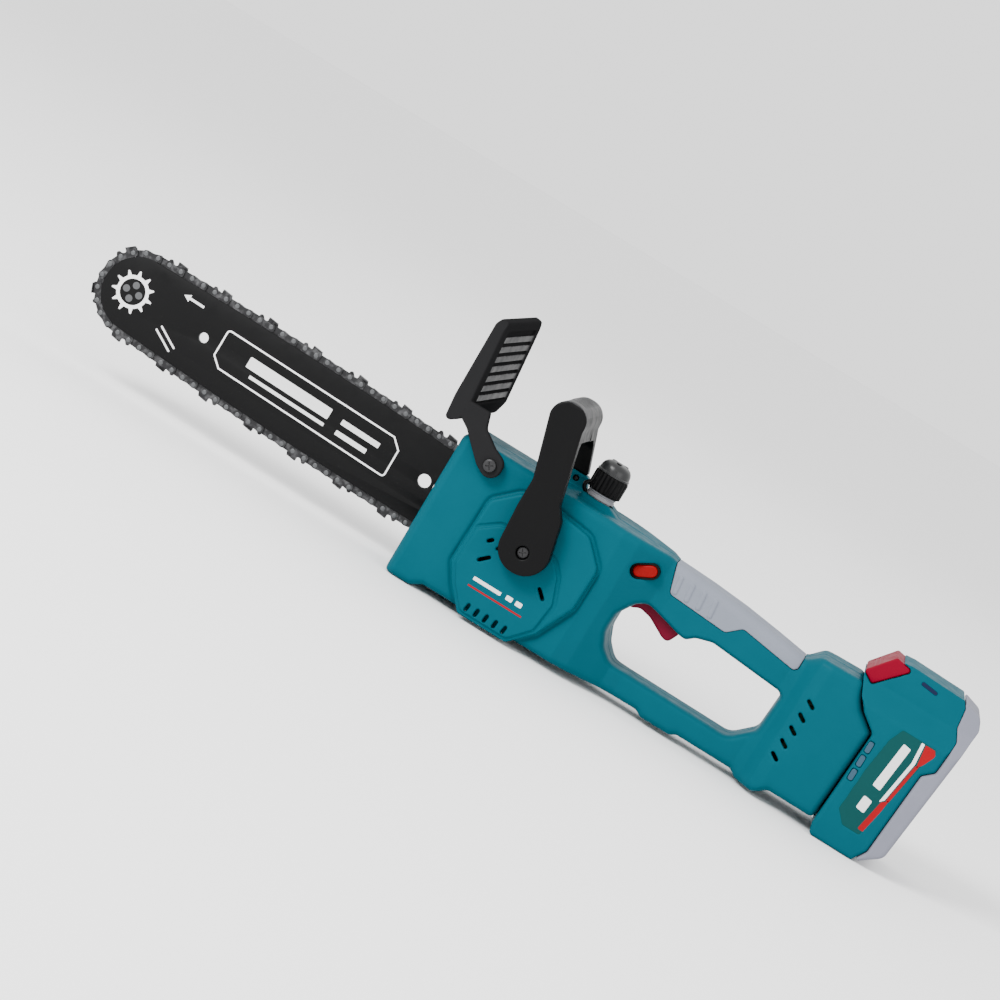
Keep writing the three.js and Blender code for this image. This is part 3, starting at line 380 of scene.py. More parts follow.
def bevelled(piece, width=0.6, segments=2):
    rim = piece.modifiers.new("rim", "BEVEL")
    rim.width = width * MM
    rim.segments = segments
    rim.limit_method = "ANGLE"
    rim.angle_limit = math.radians(35)
    apply_modifiers(piece)


def reshape(piece, move):
    """Moves every vertex by a function of its place in the drawing frame; arrays in, arrays out."""
    mesh = piece.data
    places = np.empty(len(mesh.vertices) * 3)
    mesh.vertices.foreach_get("co", places)
    places = places.reshape(-1, 3) / MM - np.array(ORIGIN) / MM
    places = (np.column_stack(move(*places.T)) + np.array(ORIGIN) / MM) * MM
    mesh.vertices.foreach_set("co", places.ravel())
    mesh.update()


def shade_smooth(piece, sharp_degrees=40):
    mesh = piece.data
    mesh.polygons.foreach_set("use_smooth", [True] * len(mesh.polygons))
    mesh.set_sharp_from_angle(angle=math.radians(sharp_degrees))


def finish(piece, material, body, nodes=(), sharp=40):
    shade_smooth(piece, sharp)
    piece.data.materials.clear()
    piece.data.materials.append(material)
    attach(piece, body)
    if nodes:
        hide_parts(*nodes)


# ------------------------------------------------------------------ materials

def material(name, colour, roughness, metallic=0.0, grain=900.0, bump=0.06, shade=0.06, wear=None,
             gloss=0.4, rough_range=0.08):
    """A surface with fine grain in its bump, slow drift in its colour and uneven gloss."""
    made = bpy.data.materials.new(name)
    made.use_nodes = True
    nodes, links = made.node_tree.nodes, made.node_tree.links
    shader = nodes["Principled BSDF"]
    shader.inputs["Metallic"].default_value = metallic
    shader.inputs["Specular IOR Level"].default_value = gloss
    place = nodes.new("ShaderNodeTexCoord")

    def noise(scale, detail):
        texture = nodes.new("ShaderNodeTexNoise")
        texture.inputs["Scale"].default_value = scale
        texture.inputs["Detail"].default_value = detail
        links.new(place.outputs["Object"], texture.inputs["Vector"])
        return texture.outputs["Fac"]

    def spread(value, low, high):
        reach = nodes.new("ShaderNodeMapRange")
        reach.inputs["From Min"].default_value = 0.3
        reach.inputs["From Max"].default_value = 0.7
        reach.inputs["To Min"].default_value = low
        reach.inputs["To Max"].default_value = high
        links.new(value, reach.inputs["Value"])
        return reach.outputs["Result"]

    drift = nodes.new("ShaderNodeMix")
    drift.data_type = "RGBA"
    drift.inputs["A"].default_value = (*[c * (1 - shade) for c in colour], 1)
    drift.inputs["B"].default_value = (*[min(1, c * (1 + shade)) for c in colour], 1)
    links.new(noise(45, 3), drift.inputs["Factor"])
    painted = drift.outputs["Result"]
    if wear:
        scratch = nodes.new("ShaderNodeMix")
        scratch.data_type = "RGBA"
        scratch.inputs["B"].default_value = (*wear, 1)
        links.new(painted, scratch.inputs["A"])
        links.new(spread(noise(260, 8), -0.55, 0.75), scratch.inputs["Factor"])
        painted = scratch.outputs["Result"]
    links.new(painted, shader.inputs["Base Color"])
    unevenness = spread(noise(120, 4), roughness - rough_range, roughness + rough_range)
    links.new(unevenness, shader.inputs["Roughness"])
    relief = nodes.new("ShaderNodeBump")
    relief.inputs["Strength"].default_value = bump
    relief.inputs["Distance"].default_value = 0.0002
    links.new(noise(grain * 2, 2), relief.inputs["Height"])
    links.new(relief.outputs["Normal"], shader.inputs["Normal"])
    return made


TEAL = material("teal_plastic", (0.0002, 0.060, 0.082), 0.48, bump=0.05, gloss=0.03)
DARK_TEAL = material("dark_teal_print", (0.0004, 0.040, 0.040), 0.5, bump=0.02, gloss=0.08)
GREY = material("grey_plastic", (0.155, 0.16, 0.195), 0.55, bump=0.06, gloss=0.06)
SOFT = material("soft_grip_rubber", (0.155, 0.17, 0.205), 0.7, grain=1400, bump=0.12, gloss=0.15)
BLACK = material("black_plastic", (0.0022, 0.0022, 0.0024), 0.45, grain=1100, bump=0.1, gloss=0.08)
GUARD_BLACK = material("guard_plastic", (0.012, 0.012, 0.0125), 0.5, grain=1100, bump=0.1, gloss=0.0)
# Lighter black painted on faces that catch the light: a painted highlight on the front handle's top and on
# the guard's rib faces.
BLACK_HIGHLIGHT = material("black_plastic_painted_highlight", (0.028, 0.028, 0.029), 0.5, grain=1100, bump=0.25, gloss=0.12)
RED = material("red_button", (0.17, 0.0003, 0.001), 0.4, gloss=0.08)
CRIMSON = material("trigger_plastic", (0.10, 0.0008, 0.012), 0.45, gloss=0.08)
LATCH_RED = material("latch_plastic", (0.15, 0.001, 0.012), 0.45, gloss=0.03)
BAR_BLACK = material("bar_paint", (0.0028, 0.0028, 0.003), 0.42, bump=0.04, gloss=0.1)
PRINT_WHITE = material("white_print", (0.68, 0.68, 0.68), 0.5, bump=0.02)
PRINT_RED = material("red_print", (0.24, 0.001, 0.005), 0.5, bump=0.02, gloss=0.08)
STEEL = material("bright_steel", (0.35, 0.36, 0.38), 0.32, metallic=1.0, bump=0.05)
CHAIN_STEEL = material("chain_steel", (0.014, 0.014, 0.015), 0.42, metallic=0.6, bump=0.12,
                       wear=(0.085, 0.085, 0.088))
SCREW_BLACK = material("screw_black", (0.012, 0.012, 0.013), 0.4, metallic=0.3, bump=0.05)
# Dark blue for painted shade: the shade inside the battery's shoulder slit.
SLIT_SHADE = material("painted_slit_shade", (0.004, 0.008, 0.03), 0.5, gloss=0.1)
RIVET_STEEL = material("rivet_steel", (0.085, 0.087, 0.09), 0.4, metallic=0.8, bump=0.1)
CAP_CLEAR = material("cap_window", (0.014, 0.0145, 0.015), 0.35, bump=0.04, gloss=0.3)
NECK_GREY = material("neck_plastic", (0.20, 0.20, 0.215), 0.5, bump=0.05, gloss=0.2)
LIGHT_GREY = material("charge_window", (0.02, 0.055, 0.085), 0.3, bump=0.02, gloss=0.2)
COPPER = material("copper_windings", (0.40, 0.13, 0.04), 0.4, metallic=0.8, bump=0.2)
BOARD = material("circuit_board", (0.006, 0.07, 0.02), 0.5)
CELL_WRAP = material("cell_wrap", (0.02, 0.08, 0.28), 0.35)
TANK = material("tank_plastic", (0.55, 0.53, 0.46), 0.4)


# ------------------------------------------------------------------ housing

PAD_DEPTH = 2.2
HOUSING_RIM = 5.5                       # rounding of the shell's outer rim
RIM_DEPTH = 10.0                        # of the rim's part that keeps its shape in fit_width
TRIGGER_SLOT = [(102, 56, 1), (148, 56, 1), (148, 74, 1), (108, 80, 1), (102, 74, 1)]


def half_width(x, side):
    """How far the shell reaches from the parting line at a place along the saw."""
    stations = [-53, -47, 78, 90, 104, 116, 126, 222, 230, 238, 246, 300]
    left = [34.5, 38, 38, 34.4, 26.8, 20.2, 18.4, 18.2, 22.6, 30.4, 33, 33]
    right = [38, 42, 42, 38.4, 29, 20.6, 18.4, 18.2, 22.6, 30.4, 33, 33]
    return np.interp(x, stations, right if side > 0 else left)


def fit_width(side, full):
    """Pulls the shell's face in to half_width, with the rim kept round and the rest pressed together."""
    def move(x, y, z):
        out = side * y
        face = half_width(x, side)
        pressed = out * (face - RIM_DEPTH) / (full - RIM_DEPTH)
        shifted = out - (full - face)
        return x, side * np.where(out > full - RIM_DEPTH, shifted, pressed), z
    return move


def shell_half(name, side, full):
    """One half of the housing, hollow, before its own openings are cut."""
    outer = half_pillow(name, BODY_SIDE, side, GAP / 2, full, HOUSING_RIM)
    low, high = sorted((side * GAP / 2, side * full))
    flares = (-HOUSING_RIM - 2, 0) if side < 0 else (0, -HOUSING_RIM - 2)
    opening = pillow("opening", HAND_OPENING, low - 2, high + 2, *flares)
    inner = half_pillow("inner", inset(BODY_SIDE, WALL), side, -1, full - WALL, 0)
    cut(inner, pillow("around", inset(HAND_OPENING, -WALL), -60, 60))
    return cut(outer, opening, inner)


def filler_stand(side):
    stand = [(34.5, 108, 0), (35.4, 116.7, 2), (57.8, 116.5, 3), (68.2, 111.6, 1), (69, 108, 0)]
    return half_pillow("filler_stand", stand, side, GAP / 2, 16 if side < 0 else 20, 4)


def leaning(name, plan, low, high):
    """A plan outline carried up along the battery's leaning front face."""
    lean = math.tan(BATTERY_LEAN)
    layers = [([(x - 0.4 + (z - 50) * lean, y) for x, y in plan], z) for z in (low, high)]
    return loft(name, layers, place_plan)


def rail_half(side):
    plan = [(287, 0.15), (287, 13), (293.6, 13), (293.6, 19), (298, 19), (298, 0.15)]
    return leaning("rail", [(x, side * y) for x, y in plan], 16, 70)


def grip_core(depth, side):
    """The rear grip's rounded bar, from the parting line out, sunk by a depth."""
    grip = [(90, 112, 0), (118, 109.3, 3), (146.8, 108.1, 20), (174.5, 105.9, 20), (202, 102.4, 20),
            (227.6, 98.6, 3), (240, 97, 0), (240, 60, 0), (90, 60, 0)]
    return half_pillow("grip_core", inset(grip, depth), side, GAP / 2, GRIP_HALF - depth, 7 - depth)


def grip_pad(side):
    node = "grip_pad_left" if side < 0 else "grip_pad_right"
    pad = half_pillow(node + "_skin", inset(GRIP_PAD, GAP), side, GAP / 2, GRIP_HALF + 1, 0)
    common(pad, grip_core(0, side))
    ridges = []
    for index in range(4):
        ridge = slot_points(126.5 + 9.6 * index, 96.4 - 0.5 * index, 14, 3.4, math.radians(96))
        low, high = sorted((side * (GRIP_HALF - 3), side * (GRIP_HALF + 1)))
        rounds = (0.8, 0) if side < 0 else (0, 0.8)
        ridges.append(pillow("ridge", ridge, low, high, *rounds, steps=2))
    join(pad, *ridges)
    cut(pad, grip_core(PAD_DEPTH - 0.2, side))
    moulded(pad, 0.55, 2, 0.4)
    finish(pad, SOFT, "root", [node], 50)


def pad_room(side):
    room = half_pillow("pad_room", GRIP_PAD, side, -1, GRIP_HALF + 4, 0)
    return cut(room, grip_core(PAD_DEPTH, side))


def foot_vents():
    vents = []
    for row in range(5):
        vent = slot_points(243.8 + 0.6 * row, 32.4 + 10.85 * row, 8.0, 2.6, -0.55)
        vents.append(pillow("vent", vent, -60, -28))
    return vents


def left_housing():
    shell = shell_half("left_housing_shell", -1, BODY_LEFT)
    button_seat = pillow("button_seat", slot_points(*LOCK_BUTTON, 20.4, 11.4, LOCK_LIFT), -45, -10)
    join(shell, filler_stand(-1))
    cut(shell, cylinder("motor_opening", SPINDLE, 30.5, -60, -30),
        pillow("trigger_slot", TRIGGER_SLOT, -9, 2),
        cylinder("filler_bore", FILLER, 11.2, 100, 130, place_plan),
        block("terminal_room", (280, 296), (-12.5, 2), (29.6, 52.4)),
        cylinder("pivot_bore", GUARD_PIVOT, 3.3, -60, -30), button_seat, *foot_vents())
    moulded(shell, 0.8, 2, 1.0)
    reshape(shell, fit_width(-1, BODY_LEFT))
    reshape(shell, cover_groove)
    join(shell, rail_half(-1))
    soften(shell, 2, 0.35)
    cut(shell, pad_room(-1))
    finish(shell, TEAL, "root", ["left_housing"], 40)


def signed_depth(x, z, points):
    """Distance inside the outline, negative outside, for arrays of places."""
    loop = np.array(rounded(points, 3))
    nearest = np.full(x.shape, 1e9)
    inside = np.zeros(x.shape, bool)
    for (ax, az), (bx, bz) in zip(loop, np.roll(loop, -1, axis=0)):
        length = max(1e-9, (bx - ax) ** 2 + (bz - az) ** 2)
        along = np.clip(((x - ax) * (bx - ax) + (z - az) * (bz - az)) / length, 0, 1)
        nearest = np.minimum(nearest, np.hypot(x - ax - along * (bx - ax), z - az - along * (bz - az)))
        crosses = (az > z) != (bz > z)
        reach = ax + (z - az) * (bx - ax) / (bz - az if bz != az else 1e-9)
        inside ^= crosses & (x < reach)
    return np.where(inside, nearest, -nearest)


def cover_groove(x, y, z):
    """A shallow rounded channel round the motor cover."""
    outside = (y < -half_width(x, -1) + 3) & (x < 90)
    ring = signed_depth(x, z, MOTOR_COVER)
    sink = 1.2 * np.exp(-((ring + 1.6) / 1.1) ** 2)
    return x, np.where(outside, y + sink, y), z


def right_housing():
    shell = shell_half("right_housing_shell", 1, BODY_RIGHT)
    bay = block("bay", (BAY["front"], BAY["rear"]), (BAR_PAD_Y, 60), (BAY["bottom"], BAY["top"]))
    wall = block("wall", (-51, BAY["rear"] + WALL), (BAR_PAD_Y - WALL, 41),
                 (BAY["bottom"] - WALL, BAY["top"] + WALL))
    bar_pad = pillow("bar_pad", rectangle(-50, -3, 46, 72, 3), BAR_PAD_Y - 1, 17.7)
    bearing_seat = cylinder("bearing_seat", SPINDLE, 13, BAR_PAD_Y - 1, 15.4, chamfer=0.4)
    handle_boss = [(10, 108, 0), (16.6, 122.3, 2), (31.8, 122.3, 2), (37, 108, 0)]
    join(shell, filler_stand(1), wall, pillow("handle_boss", handle_boss, 27, 41.5, 1.5, 1.5))
    cut(shell, bay)
    join(shell, bar_pad, bearing_seat)
    bosses, pockets, bores = [], [], []
    for place in HOUSING_SCREWS:
        bosses.append(cylinder("boss", place, 5.4, 1, half_width(place[0], 1) - 1.5))
        pockets.append(cylinder("pocket", place, 4.2, 12, 60))
        bores.append(cylinder("bore", place, 1.9, -5, 60))
    peg_x = HANDLE_PEG[0]
    cut(shell, pillow("trigger_slot", TRIGGER_SLOT, -2, 9),
        cylinder("filler_bore", FILLER, 11.2, 100, 130, place_plan),
        block("terminal_room", (280, 296), (-2, 12.5), (29.6, 52.4)),
        cylinder("spindle_bore", SPINDLE, 10.2, 5, 14.7),
        cylinder("spindle_hole", SPINDLE, 6.2, 5, 20),
        cylinder("stud_hole", bar_stud(), 4.3, 5, 20),
        block("tension_room", (-56, -24), (14, 20), (40, 51.6)),
        block("peg_room", (peg_x - 4, peg_x + 4), (30.6, 37.9), (112.6, 126)))
    moulded(shell, 0.8, 2, 1.0)
    reshape(shell, fit_width(1, BODY_RIGHT))
    join(shell, rail_half(1), *bosses)
    cut(shell, *pockets, *bores, cylinder("peg_bore", HANDLE_PEG, 2.4, 20, 60))
    soften(shell, 2, 0.35)
    cut(shell, pad_room(1))
    finish(shell, TEAL, "root", ["right_housing"], 40)


# ------------------------------------------------------------------ motor cover and sprocket cover

COVER_Y = -43.3                         # the motor cover's outer face
FACE_RISE = 0.9                         # of the raised middle field


def motor_cover():
    cover = pillow("motor_cover_shell", MOTOR_COVER, COVER_Y, -38.3, 2.4, 0, steps=5)
    face = pillow("cover_face", COVER_FACE, COVER_Y - FACE_RISE, -40, 0.8, 0, steps=3)
    rim = pillow("cover_rim", inset(COVER_FACE, -2.6), COVER_Y - 0.05, COVER_Y + 0.8, -1.0, 0, steps=3)
    cut(cover, pillow("inner", inset(MOTOR_COVER, WALL), COVER_Y + WALL, -30), rim)
    boss = cylinder("boss", HANDLE_SCREW, 7.2, COVER_Y - 1.3, -40, chamfer=0.4)
    collar = cylinder("collar", SPINDLE, 11, COVER_Y + 2, -35.2)
    join(cover, face, boss, collar)
    openings = [
        cylinder("collar_bore", SPINDLE, 8.1, COVER_Y + WALL + 0.2, -30),
        cylinder("screw_bore", HANDLE_SCREW, 2.3, -50, -38),
    ]
    slots = [(4.3, 44.8, 10, 0.75), (50.4, 44.6, 10, -0.75), (1.8, 57.9, 5.5, 0.75), (9.5, 56, 4, 0.75)]
    slots += [(11.6 + 7.4 * slot, 9.8, 6.6, math.pi / 2 - 0.12) for slot in range(5)]
    for x, z, length, angle in slots:
        openings.append(pillow("slot", slot_points(x, z, length, 2.7, angle), -50, -36))
    cut(cover, *openings)
    moulded(cover, 0.5, 2, 0.3)
    finish(cover, TEAL, "root", ["motor_cover"], 45)
    face_y = COVER_Y - FACE_RISE
    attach(flat_print("cover_line", rectangle(4, 47, 23.2, 24.4), face_y, PRINT_RED), "root")
    for x, length, height in ((5, 22, 2.6), (31, 5, 3.4), (38.6, 5, 3.4)):
        corners = rectangle(x, x + length, 28.6, 28.6 + height, 0.6)
        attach(flat_print("cover_print", corners, face_y, PRINT_WHITE), "root")


def flat_print(name, corners, face_y, ink, thickness=0.07):
    """Ink on a face that looks towards -Y."""
    mark = pillow(name, corners, face_y - thickness, face_y + 0.05)
    shade_smooth(mark)
    mark.data.materials.append(ink)
    return mark


def sprocket_cover():
    skin = [(-52, 19.8, 5), (75.7, 19.8, 8), (75.7, 98, 8), (-52, 98, 5)]
    cover = pillow("sprocket_cover_shell", skin, BAR_PAD_Y + GAP, BODY_RIGHT, 0, 3)
    room = [(-61, 24.4, 0), (73, 24.4, 6), (73, 95.6, 6), (-61, 95.6, 0)]
    cut(cover, pillow("room", room, BAR_PAD_Y - 1, BODY_RIGHT - WALL))
    stud = bar_stud()
    join(cover, cylinder("stud_collar", stud, 9, BAR_Y + 2.5, BODY_RIGHT - 1))
    ribs = []
    for index in range(5):
        rib = slot_points(22 + 10 * index, 58, 52 - 4 * index, 3.2, math.pi / 2 - 0.3)
        ribs.append(pillow("rib", rib, BODY_RIGHT - 1.2, BODY_RIGHT + 1))
    cut(cover, *ribs, cylinder("stud_bore", stud, 4.6, 0, 60))
    moulded(cover, 0.7, 2, 0.3)
    finish(cover, TEAL, "root", ["sprocket_cover"], 45)


def cover_knob():
    stud = bar_stud()
    low, high = BODY_RIGHT + GAP, BODY_RIGHT + 12
    grips, steps = 10, 80

    def ring(radius, depth):
        loop = []
        for step in range(steps):
            angle = 2 * math.pi * step / steps
            reach = radius - depth * (0.5 + 0.5 * math.cos(grips * angle)) ** 3
            loop.append((stud[0] + reach * math.cos(angle), stud[1] + reach * math.sin(angle)))
        return loop

    knob = loft("knob_grip", [
        (ring(16.4, 1.6), low), (ring(17, 2.2), low + 0.8), (ring(17, 2.2), high - 2),
        (ring(16.2, 2), high - 0.7), (ring(14.4, 1), high),
    ])
    cut(knob, cylinder("bore", stud, 4.3, 30, BODY_RIGHT + 9), cylinder("dish", stud, 10, high - 1, high + 2))
    bevelled(knob, 0.3)
    finish(knob, BLACK, "knob", ["cover_knob"])


# ------------------------------------------------------------------ front handle and hand guard

HANDLE_FRAME = [
    (-57, 40, 0), (-57, 170.3, 3), (40, 170.3, 3), (40, 122.6, 0), (28.5, 122.6, 0), (28.5, 147, 8),
    (-45, 147, 8), (-45, 40, 0),
]


def front_handle():
    left = pillow("handle_bow", HANDLE_LEFT_ARM, -57, 5, 1.2, 0, corner_steps=10)
    right = pillow("right_arm", HANDLE_RIGHT_ARM, 4.9, 40, 0, 1.2, corner_steps=10)
    handle = common(join(left, right), pillow("frame", HANDLE_FRAME, -40, 80, put=place_front))
    grooves = []
    for index in range(9):
        y = -38 + 8 * index
        strip = [(y, 168.9, 0.5), (y + 3.2, 168.9, 0.5), (y + 3.2, 175, 0), (y, 175, 0)]
        grooves.append(pillow("groove", strip, -3.4, 15, put=place_front))
    cut(handle, *grooves, cylinder("head_bore", HANDLE_SCREW, 4.7, -70, -52),
        cylinder("bore", HANDLE_SCREW, 2.4, -70, -40))
    moulded(handle, 0.6, 4, 0.3)
    join(handle, block("peg", (20.6, 27.8), (31, 37.5), (113, 123.5)))
    cut(handle, cylinder("peg_bore", HANDLE_PEG, 1.8, 20, 60))
    finish(handle, BLACK, "root", ["front_handle"], 50)
    # The handle top's upward faces get the lighter black: a painted highlight.
    paint_where(handle, BLACK_HIGHLIGHT, lambda centre, normal: normal.z > 0.55 and centre.z > 160)


def paint_where(piece, second, test):
    """Gives the faces that pass a test a second material; places are in the drawing frame."""
    piece.data.materials.append(second)
    for face in piece.data.polygons:
        if test((face.center - ORIGIN) / MM, face.normal):
            face.material_index = 1


GUARD_HINGE = (-60, -46)                # the plate's near edge in plan, which it is swept about
GUARD_SWEEP = math.radians(4.5)
GUARD_RISE = 0.065                      # how much the plate climbs towards its far edge
PANEL_LOW = 130
RIBS = 7
RIB_LOW = 131.4
RIB_STEP = 7.3
RIB_HEIGHT = 4.9


def panel_floor(z):
    """How far back the guard's sunken panel lies at a height, before the plate is swept."""
    return -60.4 - 5.6 * (z - PANEL_LOW) / 54.5


def swept(x, y, z):
    """Turns the guard's plate back about its near edge and lets it climb towards the far one."""
    dx, dy = x - GUARD_HINGE[0], y - GUARD_HINGE[1]
    sweep = -GUARD_SWEEP
    return (GUARD_HINGE[0] + dx * math.cos(sweep) - dy * math.sin(sweep),
            GUARD_HINGE[1] + dx * math.sin(sweep) + dy * math.cos(sweep), z + GUARD_RISE * dy)


def hand_guard():
    plate = common(pillow("guard_shield", GUARD_FRONT, -90, -30, put=place_front),
                   pillow("side", GUARD_SIDE, -46, 61, 1.2, 1.2))
    pocket = pillow("pocket", [(-80, 133, 0), (-80, 182, 0), (-70, 182, 0), (-65, 133, 0)], -38, 52)
    panel_side = [(-66, 184.5, 0), (-40, 184.5, 0), (-40, PANEL_LOW, 0), (-60.4, PANEL_LOW, 0)]
    cut(plate, pocket, pillow("panel", panel_side, -31, 50))
    ribs = []
    for index in range(RIBS):
        z = RIB_LOW + RIB_STEP * index
        x = panel_floor(z)
        top = z + RIB_HEIGHT
        rib = [(x - 3, z, 0), (x + 1.9, z, 0.7), (x + 1.6, top, 0.7), (x - 3, top, 0)]
        ribs.append(pillow("rib", rib, -32, 51))
    join(plate, *ribs)
    reshape(plate, swept)
    join(plate, pillow("arm", GUARD_ARM, -46, -39.4, 1.4, 1.0))
    cut(plate, cylinder("pivot_bore", GUARD_PIVOT, 3.3, -60, -30))
    moulded(plate, 0.5, 1, 0.35)
    finish(plate, GUARD_BLACK, "guard", ["hand_guard"], 40)
    # The ribs' outer faces get the lighter black: a painted highlight.
    paint_where(plate, BLACK_HIGHLIGHT, on_rib_highlight)


def on_rib_highlight(centre, normal):
    """Whether a face is the outer face of a rib on the guard's sunken panel, which gets a painted highlight.
    """
    depth = centre.y - GUARD_HINGE[1]
    height = centre.z - GUARD_RISE * depth
    along = (height - RIB_LOW) / RIB_STEP
    reach = centre.x - panel_floor(height) - math.tan(GUARD_SWEEP) * depth
    on_band = 0 <= along < RIBS and along % 1 < RIB_HEIGHT / RIB_STEP
    return on_band and normal.x > 0.5 and 0.8 < reach < 3.2 and -30 < centre.y < 50


def pan_screw(name, place, head_radius, head_low, head_high, body, nodes):
    """A screw head seen from -Y, with a cross recess and a plain shank."""
    rings = [(head_radius - 1.0, head_low), (head_radius - 0.3, head_low + 0.35),
             (head_radius, head_low + 1.0), (head_radius, head_high)]
    screw = loft(name, [(circle(place, radius, 32), y) for radius, y in rings])
    shank = cylinder("shank", place, head_radius * 0.45, head_high - 0.5, head_high + 9)
    slots = []
    for angle in (0.5, 0.5 + math.pi / 2):
        slot = slot_points(*place, head_radius * 1.25, 0.9, angle)
        slots.append(pillow("slot", slot, head_low - 1, head_low + 1.1))
    join(screw, shank)
    cut(screw, *slots)
    finish(screw, SCREW_BLACK, body, nodes, 35)


# ------------------------------------------------------------------ oil filler

def turned_stack(name, profile, sides):
    """A round piece on the filler's axis; the profile is (radius, height above the cap's foot)."""
    layers = [(circle(FILLER, radius, sides), CAP_Z + height) for radius, height in profile]
    return loft(name, layers, place_plan)


def ribbed_ring(radius, depth, ribs=22, steps=176):
    loop = []
    for step in range(steps):
        angle = 2 * math.pi * step / steps
        reach = radius - depth * (0.5 - 0.5 * math.cos(ribs * angle)) ** 2
        loop.append((FILLER[0] + reach * math.cos(angle), reach * math.sin(angle)))
    return loop


def oil_cap():
    profile = [(11.4, 0, 0), (12.5, 0.4, 0.6), (12.7, 1, 1.1), (12.7, 12.2, 1.1), (12.3, 13.4, 0.8),
               (11.8, 14, 0)]
    layers = [(ribbed_ring(radius, depth), CAP_Z + height) for radius, height, depth in profile]
    grip = loft("cap_grip", layers, place_plan)
    cut(grip, cylinder("bore", FILLER, 8.8, CAP_Z - 1, CAP_Z + 10.5, place_plan))
    finish(grip, BLACK, "cap", ["oil_cap"], 60)
    dome = turned_stack("cap_dome", [
        (11.6, 13.9), (12.2, 14.2), (12.2, 15.2), (11.6, 15.6), (11.5, 16.4), (11.2, 18.4), (10.4, 20.4),
        (8.8, 22.2), (6.4, 23.4), (3, 24),
    ], 64)
    finish(dome, CAP_CLEAR, "cap", sharp=30)
    for index in range(3):
        angle = 2 * math.pi * index / 3 + 0.5
        place = (FILLER[0] + 4.8 * math.cos(angle), 4.8 * math.sin(angle))
        spot = cylinder("cap_spot", place, 2.3, CAP_Z + 20.6, CAP_Z + 23.9, place_plan, 20, 0.4)
        finish(spot, BLACK, "cap")


def filler_neck():
    neck = turned_stack("filler_collar", [
        (8.6, -12.4), (8.6, -4.6), (10.8, -4.6), (10.8, -3.0), (10.2, -2.6), (10.2, -1.6), (10.8, -1.2),
        (10.8, -0.5), (8.4, -0.4), (8.4, 8.6),
    ], 48)
    cut(neck, cylinder("bore", FILLER, 6.6, CAP_Z - 14, CAP_Z + 12, place_plan))
    finish(neck, NECK_GREY, "root", ["oil_filler_neck"], 40)
    route = [(37.4, -6, 117), (34.6, -7.4, 119), (34.2, -7.8, 123), (36.4, -6.6, 124.6)]
    finish(tube("cap_tether", [Vector(point) for point in route], 1.5), BLACK, "root")


def tube(name, points, radius):
    """A smooth round cord through points in the drawing frame, turned into a mesh."""
    curve = bpy.data.curves.new(name, "CURVE")
    curve.dimensions = "3D"
    curve.bevel_depth = radius * MM
    curve.bevel_resolution = 4
    curve.use_fill_caps = True
    spline = curve.splines.new("NURBS")
    spline.points.add(len(points) - 1)
    for index, point in enumerate(points):
        spline.points[index].co = (*(ORIGIN + point * MM), 1)
    spline.use_endpoint_u = True
    spline.order_u = 3
    route = bpy.data.objects.new(name + "_route", curve)
    bpy.context.scene.collection.objects.link(route)
    bpy.context.view_layer.update()
    mesh = bpy.data.meshes.new_from_object(route.evaluated_get(bpy.context.evaluated_depsgraph_get()))
    bpy.data.objects.remove(route)
    piece = bpy.data.objects.new(name, mesh)
    bpy.context.scene.collection.objects.link(piece)
    return piece


# ------------------------------------------------------------------ trigger group

def trigger():
    lever = pillow("trigger_lever", TRIGGER, -6.4, 6.4, 2.2, 2.2)
    cut(lever, cylinder("pin_bore", TRIGGER_PIN, 2.2, -10, 10))
    moulded(lever, 0.45, 3, 0.35)
    finish(lever, CRIMSON, "trigger", ["trigger"], 50)


def lock_button():
    def slot(name, length, width, low, high, rounding=0.0):
        return pillow(name, slot_points(*LOCK_BUTTON, length, width, LOCK_LIFT), low, high, rounding,
                      corner_steps=8)

    button = slot("lock_button_cap", 17.2, 8.4, -27.6, -14, 1.2)
    finish(button, RED, "lock_button", ["lock_off_button"], 40)
    rim = slot("lock_rim", 20.6, 11.6, -26.8, -20.5, 0.5)
    cut(rim, slot("hole", 17.9, 9.0, -40, -10))
    finish(rim, BLACK, "root", sharp=40)


# ------------------------------------------------------------------ battery

LATCH_PRESS = (0.795, -0.607)           # inward, square to the slanted face
LATCH_TRAVEL = 3.0
LATCH_ROOM = 25.3                       # half the width of the room it is pressed into
LABEL_Y = -BATTERY_HALF + 0.35          # floor of the label's shallow bed
CHARGE_LIGHTS = (50.6, 61.5, 72.4)
LABEL = [
    (298, 26, 2), (306, 17, 2), (320.5, 17, 2), (325, 42, 2), (331.4, 80, 3), (336, 91, 2), (334, 95.2, 1.5),
    (307, 95.2, 2), (302.5, 84, 3), (299.5, 60, 3),
]


def battery_front(depth=0.0):
    """The battery's front view carried along the saw, to give a side view its width and shoulders."""
    return pillow("front", inset(BATTERY_FRONT, depth), 250, 360, put=place_front)


